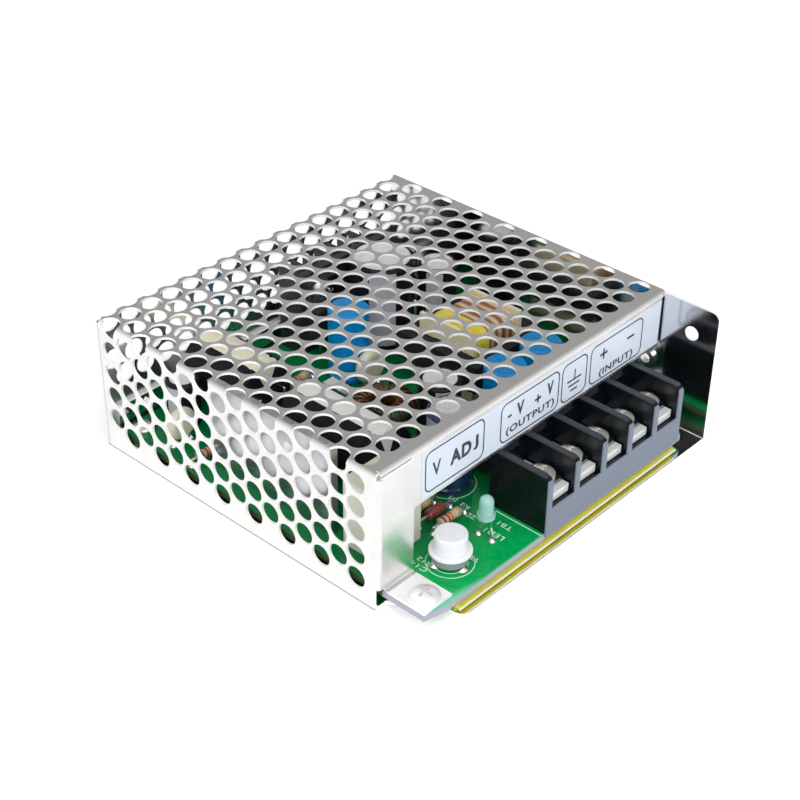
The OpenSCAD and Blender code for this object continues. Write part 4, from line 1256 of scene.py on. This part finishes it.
@dataclass
class BoardPrint(Assembly):
    """Circuit board with its print and the solder round the leads in view; sizes in millimetres."""

    thickness: float = 0.02
    line: float = 0.22
    weight: float = 0.005
    words: tuple[BoardWord, ...] = (
        BoardWord("LED1", (30.4, 5.3), 1.5, 5.0),
        BoardWord("TB1", (34.0, 6.1), 1.3, 3.6),
        BoardWord("VR1", (21.2, 4.5), 1.3, 3.0),
        BoardWord("C14", (11.4, 10.3), 1.3, 4.4),
        BoardWord("R12", (13.3, 10.9), 1.2, 3.6),
        BoardWord("R2", (33.4, 17.6), 1.2, 2.4),
        BoardWord("ZD1", (31.7, 14.3), 1.3, 3.4),
        BoardWord("D5", (33.6, 21.3), 1.2, 2.2),
    )
    rings: tuple[tuple[str, float], ...] = (
        ("trimmer_knob", 3.75),
        ("trimmer_knob", 5.2),
        ("corner_capacitor", 6.15),
    )
    ring_steps: int = 64
    side_line: Box = (36.0, 36.25, 0.1, 12.7)
    soldered: tuple[tuple[str, float, float], ...] = (
        ("trimmer_pins", 1.4, 0.85),
        ("indicator_leads", 0.95, 0.7),
        ("component_leads", 0.95, 0.7),
    )
    solder_steps: int = 20
    solder_curve: tuple[Spot, ...] = ((1.0, 0.0), (0.92, 0.2), (0.66, 0.5))
    solder_neck: float = 1.15
    lead_clear: float = 0.8
    lead_r: float = 0.36

    def build(self) -> None:
        """Prints the board, solders its leads and dresses it."""
        low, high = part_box("circuit_board")
        self.print_marks(low, high.z)
        self.solder(high.z)
        laminate = LaminateFinish(
            "green_laminate",
            (0.0, 0.30, 0.065),
            (0.0, 0.37, 0.085),
            (0.07, 0.12),
            specular=0.25,
            grain_size=1200.0,
            bump=0.03,
            corner=(low.x, low.y),
            shade_from=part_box("legend_label")[1].y,
        )
        self.coat(laminate, "circuit_board")

    def print_marks(self, low: Vector, board_top: float) -> None:
        """Prints the words, rings and line on the board.

        Args:
            low: the board's lowest corner.
            board_top: height of the board's top.
        """
        corner = Matrix.Translation((low.x, low.y, board_top))
        piece = PieceMesh(self.thickness * MM)
        for word in self.words:
            start = Matrix.Translation(Vector((*word.start, 0.0)) * MM)
            box = (0.0, word.length * MM, 0.0, word.height * MM)
            turned = corner @ start @ Matrix.Rotation(QUARTER_TURN, 4, "Z")
            piece.lettering(word.text, box, self.weight, turned)
        for node, radius in self.rings:
            first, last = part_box(node)
            middle = (first + last) / 2
            inner, outer = (radius - self.line / 2) * MM, (radius + self.line / 2) * MM
            profile = [(inner, 0.0), (outer, 0.0), (outer, piece.thickness), (inner, piece.thickness)]
            piece.revolve(profile, Matrix.Translation((middle.x, middle.y, board_top)), self.ring_steps)
        piece.bar(in_metres(self.side_line), corner)
        white = ((0.72, 0.86, 0.84), (0.62, 0.78, 0.76), (0.4, 0.55))
        self.add_as("board_print", piece, Finish("board_white", *white, grain_size=4000.0), Slot.LEGEND_PRINT)

    def solder(self, board_top: float) -> None:
        """Adds a solder cone round each lead that stands clear of the board.

        Args:
            board_top: height of the board's top.
        """
        piece = PieceMesh()
        lead = self.lead_r * MM
        for node, wide, tall in self.soldered:
            foot, height = wide * MM, tall * MM
            slope = [(foot * share, height * rise) for share, rise in self.solder_curve]
            profile = [(lead, 0.0), *slope, (lead * self.solder_neck, height), (lead, height)]
            for spot in feet(node, board_top, self.lead_clear * MM):
                piece.revolve(profile, Matrix.Translation(spot), self.solder_steps)
        bright = ((0.82, 0.82, 0.83), (0.70, 0.70, 0.72), (0.14, 0.3), 1.0)
        tin = Finish("solder", *bright, grain_size=3000.0, bump=0.1)
        self.add_as("solder_joints", piece, tin, Slot.TINNED_METAL)


@dataclass
class Terminals(Assembly):
    """Barrier block, its contact plates, washers and screws; sizes in metres."""

    poles: int = 5
    front_reflection_depth: float = 0.25 * MM
    top_reflection_depth: float = 0.2 * MM

    def build(self) -> None:
        """Puts the finishes on the block and its metal, with painted reflections on the barrier tops and the
        front face of the black moulding.
        """
        low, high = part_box("terminal_block")
        slack = room(0.1)
        front_reflection_high = Vector((high.x, low.y + self.front_reflection_depth, high.z)) + slack
        top_reflection_low = Vector((low.x, low.y, high.z - self.top_reflection_depth)) - slack
        patches = (
            # Painted reflection: the barrier tops are lighter than the black moulding.
            Patch(top_reflection_low, high + slack, (0.035, 0.04, 0.05), 0.3),
            # Painted reflection: the front face of the black moulding is slate where light glances off it.
            Patch(low - slack, front_reflection_high, (0.17, 0.20, 0.265), 0.4),
        )
        moulding = PatchedFinish(
            "black_moulding",
            (0.002, 0.004, 0.005),
            (0.003, 0.006, 0.008),
            (0.22, 0.3),
            specular=0.25,
            grain_size=3500.0,
            bump=0.01,
            patches=patches,
        )
        self.coat(moulding, "terminal_block")
        white = ((0.97, 0.97, 0.98), (0.90, 0.90, 0.92), (0.3, 0.42), 0.4)
        self.coat(Finish("tinned_plate", *white, grain_size=2400.0), "contact_plates")
        poles = range(1, self.poles + 1)
        grey = ((0.36, 0.36, 0.37), (0.28, 0.28, 0.29), (0.14, 0.24), 1.0)
        washer = Finish("plated_washer", *grey, grain_size=2400.0)
        self.coat(washer, *(f"clamp_washer_{k}" for k in poles))
        warm = ((0.94, 0.92, 0.87), (0.84, 0.82, 0.76), (0.08, 0.18), 0.7)
        screw = Finish("plated_screw", *warm, grain_size=2600.0, bump=0.03)
        self.coat(screw, *(f"terminal_screw_{k}" for k in poles))


@dataclass
class ShelfParts(Assembly):
    """Trimmer and indicator lamp on the open shelf, and the leads; sizes in metres."""

    rim: float = 0.55 * MM

    def build(self) -> None:
        """Puts the finishes on the trimmer, with painted shade on its base below the top rim, the lamp and
        all leads.
        """
        moulded = {"specular": 0.4, "grain_size": 2800.0, "bump": 0.03}
        cool = ((0.75, 0.77, 0.80), (0.69, 0.71, 0.74), (0.35, 0.45))
        self.coat(Finish("white_knob", *cool, **moulded), "trimmer_knob")
        low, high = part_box("trimmer_base")
        # Painted shade: the base below its white top rim is dark grey-green, as in the shadow of the flange.
        body = Patch(low, Vector((high.x, high.y, high.z - self.rim)), (0.26, 0.30, 0.30), 0.5)
        white = ((0.82, 0.83, 0.84), (0.74, 0.76, 0.77), (0.35, 0.5))
        self.coat(PatchedFinish("white_base", *white, **moulded, patches=(body,)), "trimmer_base")
        mint = ((0.47, 0.80, 0.73), (0.52, 0.84, 0.77), (0.12, 0.2))
        self.coat(LensFinish("mint_lens", *mint, coat=0.3), "indicator_lens")
        bright = ((0.84, 0.84, 0.85), (0.70, 0.70, 0.72), (0.18, 0.32), 1.0)
        tin = Finish("tinned_lead", *bright, grain_size=3000.0)
        leads = ("trimmer_pins", "indicator_leads", "component_leads", "transformer_pins")
        self.coat(tin, *leads, "device_tabs", "chip_legs", "fuse_caps")


@dataclass
class Band:
    """Colour band of a resistor: offset along it and radius, in millimetres, and colour."""

    name: str
    offset: float
    radius: float
    colour: Colour


@dataclass
class StripeSet:
    """Polarity stripes of the capacitors in one CAD node, with each stripe's angle in degrees."""

    name: str
    node: str
    colour: Colour
    slot: Slot
    turns: tuple[float, ...]


@dataclass
class LyingSleeve:
    """Sleeve of a lying capacitor: its CAD node, the stripe's colour and half its angle in radians."""

    node: str
    stripe: Colour
    half: float


@dataclass
class Components(Assembly):
    """Parts inside the case; sizes in millimetres, angles in degrees."""

    band_l: float = 0.5
    band_depth: float = 0.05
    band_height: float = 0.02
    band_steps: int = 20
    band_drift: float = 0.75
    bands: tuple[Band, ...] = (
        Band("band_brown", -2.3, 1.15, (0.12, 0.03, 0.012)),
        Band("band_red", -0.85, 1.0, (0.48, 0.03, 0.02)),
        Band("band_orange", 0.05, 1.0, (0.75, 0.22, 0.03)),
        Band("band_brass", 2.3, 1.15, (0.60, 0.40, 0.14)),
    )
    stripes: tuple[StripeSet, ...] = (
        StripeSet(
            "can_stripes", "can_capacitors", (0.55, 0.56, 0.62), Slot.DARK_SLEEVE, (170, 210, 200, 190)
        ),
        StripeSet("blue_stripes", "blue_capacitors", (0.72, 0.78, 0.86), Slot.BLUE_SLEEVE, (20, 40, 340)),
        StripeSet("corner_stripe", "corner_capacitor", (0.35, 0.40, 0.48), Slot.NAVY_SLEEVE, (150,)),
    )
    stripe_width: float = 48.0
    stripe_foot: float = 3.0
    stripe_head: float = 0.8
    stripe_lift: float = 0.06
    stripe_thickness: float = 0.03
    stripe_steps: int = 16
    stripe_drift: float = 0.88
    lying: tuple[LyingSleeve, ...] = (
        LyingSleeve("front_filter_capacitor", (0.84, 0.84, 0.80), 0.36),
        LyingSleeve("rear_filter_capacitor", (0.82, 0.80, 0.62), 0.44),
    )
    sleeve: tuple[Colour, Colour, Spot] = ((0.010, 0.010, 0.014), (0.016, 0.016, 0.022), (0.2, 0.3))
    sleeve_specular: float = 0.12
    blue: Colour = (0.0, 0.26, 0.64)

    def build(self) -> None:
        """Adds bands and stripes, then dresses the components."""
        for band in self.bands:
            self.build_band(band)
        for stripes in self.stripes:
            self.build_stripes(stripes)
        self.dress_small_parts()
        self.dress_capacitors()
        self.dress_wound_parts()
        self.dress_devices()

    def build_band(self, band: Band) -> None:
        """Adds a ring in the band's colour to every resistor.

        Args:
            band: the band.
        """
        piece = PieceMesh()
        half = self.band_l * MM / 2
        inner, outer = (band.radius - self.band_depth) * MM, (band.radius + self.band_height) * MM
        profile = [(inner, -half), (outer, -half), (outer, half), (inner, half)]
        along = Vector((band.offset * MM, 0.0, 0.0))
        turn = Matrix.Rotation(QUARTER_TURN, 4, "Y")
        for low, high in lumps("resistors"):
            piece.revolve(profile, Matrix.Translation((low + high) / 2 + along) @ turn, self.band_steps)
        darker = tuple(value * self.band_drift for value in band.colour)
        paint = Finish(band.name, band.colour, darker, (0.3, 0.45), grain_size=5000.0)
        self.add(piece, paint, Slot.RESISTOR_COAT)

    def build_stripes(self, stripes: StripeSet) -> None:
        """Adds the polarity stripes of a set of upright capacitors.

        Args:
            stripes: the set.
        """
        piece = PieceMesh(self.stripe_thickness * MM)
        for (low, high), turn in zip(lumps(stripes.node), stripes.turns):
            middle = (low + high) / 2
            piece.shell_strip(
                (middle.x, middle.y),
                (high.x - low.x) / 2 + self.stripe_lift * MM,
                (low.z + self.stripe_foot * MM, high.z - self.stripe_head * MM),
                (math.radians(turn), math.radians(self.stripe_width)),
                self.stripe_steps,
            )
        duller = tuple(value * self.stripe_drift for value in stripes.colour)
        self.add(piece, Finish(stripes.name, stripes.colour, duller, (0.25, 0.35), coat=0.2), stripes.slot)

    def dress_small_parts(self) -> None:
        """Puts the finishes on resistors, diode, chip parts and fuse."""
        tan = ((0.62, 0.46, 0.32), (0.54, 0.38, 0.25), (0.35, 0.5))
        self.coat(Finish("resistor_coat", *tan), "resistors")
        red = ((0.20, 0.03, 0.03), (0.34, 0.10, 0.07), (0.08, 0.15))
        self.coat(Finish("diode_glass", *red, specular=0.7, coat=0.6), "glass_diode")
        white = ((0.76, 0.75, 0.70), (0.68, 0.67, 0.62), (0.4, 0.55))
        self.coat(Finish("white_chip", *white, bump=0.05), "optocoupler")
        pale = ((0.82, 0.80, 0.75), (0.74, 0.72, 0.66), (0.25, 0.4))
        self.coat(Finish("fuse_tube", *pale, coat=0.2), "fuse_tube")

    def dress_capacitors(self) -> None:
        """Puts the finishes on the capacitors; the blue cans are sleeved over their tops."""
        cream = ((0.76, 0.75, 0.64), (0.70, 0.69, 0.57), (0.35, 0.5))
        self.coat(Finish("cream_case", *cream), "film_capacitor")
        dip = ((0.80, 0.77, 0.60), (0.72, 0.69, 0.52), (0.25, 0.36))
        self.coat(Finish("disc_dip", *dip, coat=0.2), "disc_capacitors")
        blue = Finish("blue_sleeve", self.blue, (0.0, 0.31, 0.72), (0.25, 0.35), specular=0.3)
        self.coat(blue, "blue_capacitors")
        navy = ((0.006, 0.020, 0.07), (0.01, 0.03, 0.09), (0.15, 0.25))
        self.coat(Finish("navy_sleeve", *navy, coat=0.3), "corner_capacitor")
        self.coat(Finish("dark_sleeve", *self.sleeve, specular=self.sleeve_specular), "can_capacitors")
        for lying in self.lying:
            low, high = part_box(lying.node)
            striped = SleeveFinish(
                f"striped_{lying.node}",
                *self.sleeve,
                specular=self.sleeve_specular,
                stripe=lying.stripe,
                centre=((low.x + high.x) / 2, (low.z + high.z) / 2),
                half=lying.half,
            )
            self.coat(striped, lying.node)
        reach = Vector((0.2, 0.2, 2.0)) * MM
        cans = lumps("blue_capacitors")
        patches = tuple(Patch(low - reach, high + reach, self.blue, 0.3) for low, high in cans)
        bare = ((0.92, 0.91, 0.97), (0.84, 0.83, 0.90), (0.3, 0.42), 0.4)
        self.coat(PatchedFinish("can_top", *bare, patches=patches), "capacitor_tops")

    def dress_wound_parts(self) -> None:
        """Puts the finishes on the transformer and the choke."""
        black = ((0.018, 0.018, 0.021), (0.03, 0.03, 0.034), (0.45, 0.65))
        ferrite = Finish("ferrite", *black, specular=0.12, grain_size=4000.0, bump=0.08)
        self.coat(ferrite, "transformer_core")
        cream = ((0.90, 0.84, 0.56), (0.82, 0.76, 0.48), (0.4, 0.55))
        self.coat(Finish("bobbin_moulding", *cream), "transformer_bobbin")
        copper = ((0.34, 0.12, 0.04), (0.90, 0.66, 0.46), (0.25, 0.4), 0.3)
        wire = WoundFinish("copper_winding", *copper, bump=0.3, pitch=2.6 * MM)
        self.coat(wire, "transformer_winding")
        yellow = ((0.78, 0.60, 0.05), (0.84, 0.68, 0.10), (0.2, 0.3))
        tape = WoundFinish("yellow_tape", *yellow, coat=0.3, bump=0.05, pitch=5.0 * MM)
        self.coat(tape, "transformer_tape")
        green = ((0.02, 0.09, 0.045), (0.03, 0.12, 0.06), (0.35, 0.5))
        self.coat(Finish("choke_coat", *green), "choke_core")
        brown = ((0.30, 0.11, 0.05), (0.20, 0.06, 0.03), (0.2, 0.35), 0.7)
        self.coat(Finish("choke_wire", *brown), "choke_winding")

    def dress_devices(self) -> None:
        """Puts the finishes on the heatsinks and the moulded devices."""
        bare = ((0.66, 0.66, 0.68), (0.54, 0.54, 0.56), (0.16, 0.28), 1.0)
        self.coat(Finish("bare_aluminium", *bare), "side_heatsink")
        dyed = ((0.035, 0.035, 0.04), (0.05, 0.05, 0.055), (0.3, 0.45), 0.4)
        self.coat(Finish("black_aluminium", *dyed), "rear_heatsink")
        black = ((0.02, 0.02, 0.022), (0.03, 0.03, 0.033), (0.4, 0.55))
        moulding = Finish("device_moulding", *black, bump=0.08)
        self.coat(moulding, "switch_transistor", "output_rectifier", "controller_chip")


@dataclass
class Studio(Assembly):
    """White table, soft light and the photograph's camera; lengths in metres, angles in degrees."""

    floor_size: float = 12.0
    floor_drop: float = 0.2 * MM
    target: tuple[float, float, float] = (-0.00732, -0.00389, 0.01725)
    distance: float = 0.37802
    azimuth: float = -47.83
    elevation: float = 34.38
    roll: float = 0.71
    lens: float = 75.80
    sensor: float = 36.0
    clip: float = 0.01
    sun: float = 1.65
    sun_angle: float = 70.0
    sun_way: tuple[float, float, float] = (0.45, 0.50, -0.80)
    room_tint: Colour = (1.0, 0.995, 0.985)
    dim_way: tuple[float, float, float] = (0.66, 0.59, 0.46)
    dim_level: float = 0.38
    dim_range: Spot = (-0.1, 0.85)

    def build(self) -> None:
        """Builds floor, light, room and camera."""
        self.build_floor()
        self.build_light()
        self.build_room()
        self.build_camera()
        view = bpy.context.scene.view_settings
        view.view_transform = "Standard"
        view.look = "None"

    def build_floor(self) -> None:
        """Lays the table."""
        bm = bmesh.new()
        bmesh.ops.create_grid(bm, x_segments=1, y_segments=1, size=self.floor_size / 2)
        bmesh.ops.translate(bm, vec=(0.0, 0.0, -self.floor_drop), verts=bm.verts)
        mesh = bpy.data.meshes.new("table")
        bm.to_mesh(mesh)
        bm.free()
        pale = ((0.86, 0.86, 0.86), (0.85, 0.85, 0.855), (0.6, 0.7))
        white = FloorFinish("white_table", *pale, specular=0.2, grain_size=60.0, bump=0.0)
        mesh.materials.append(white.make(self.effects))
        table = bpy.data.objects.new("table", mesh)
        bpy.context.scene.collection.objects.link(table)

    def build_light(self) -> None:
        """Hangs a soft key light."""
        lamp = bpy.data.lights.new("key", "SUN")
        lamp.energy = self.sun
        lamp.angle = math.radians(self.sun_angle)
        key = bpy.data.objects.new("key", lamp)
        key.rotation_euler = Vector(self.sun_way).to_track_quat("-Z", "Y").to_euler()
        bpy.context.scene.collection.objects.link(key)

    def build_room(self) -> None:
        """Lights the room evenly, dimmer behind the object."""
        world = bpy.data.worlds.new("room")
        bpy.context.scene.world = world
        world.use_nodes = True
        world.node_tree.nodes.clear()
        w = Wiring(world.node_tree)
        way = w.add("ShaderNodeVectorMath", operation="DOT_PRODUCT")
        w.feed(way.inputs[0], w.add("ShaderNodeTexCoord").outputs["Generated"])
        way.inputs[1].default_value = self.dim_way
        ground = w.add("ShaderNodeBackground")
        level = w.span(way.outputs["Value"], 1.0, self.dim_level, *self.dim_range)
        w.feed(ground.inputs["Strength"], level)
        w.feed(ground.inputs["Color"], self.room_tint)
        w.feed(w.add("ShaderNodeOutputWorld").inputs["Surface"], ground.outputs[0])

    def build_camera(self) -> None:
        """Sets the camera as the photograph's."""
        data = bpy.data.cameras.new("camera")
        data.sensor_width = self.sensor
        data.lens = self.lens
        data.clip_start = self.clip
        camera = bpy.data.objects.new("camera", data)
        turn = math.radians(self.azimuth)
        tilt = math.radians(self.elevation)
        flat = math.cos(tilt)
        back = Vector((math.sin(turn) * flat, -math.cos(turn) * flat, math.sin(tilt)))
        aim = back.to_track_quat("Z", "Y").to_matrix().to_4x4()
        place = Matrix.Translation(Vector(self.target) + back * self.distance)
        camera.matrix_world = place @ aim @ Matrix.Rotation(math.radians(self.roll), 4, "Z")
        bpy.context.scene.collection.objects.link(camera)
        bpy.context.scene.camera = camera


def main() -> None:
    """Builds the studio and dresses the converter."""
    logging.basicConfig(level=logging.INFO, format="%(name)s: %(message)s")
    effects = SharedEffects()
    assemblies = (Studio, CoverSheet, Chassis, Legend, BoardPrint, Terminals, ShelfParts, Components)
    for assembly in assemblies:
        assembly(effects).build()


if __name__ == "__main__":
    main()
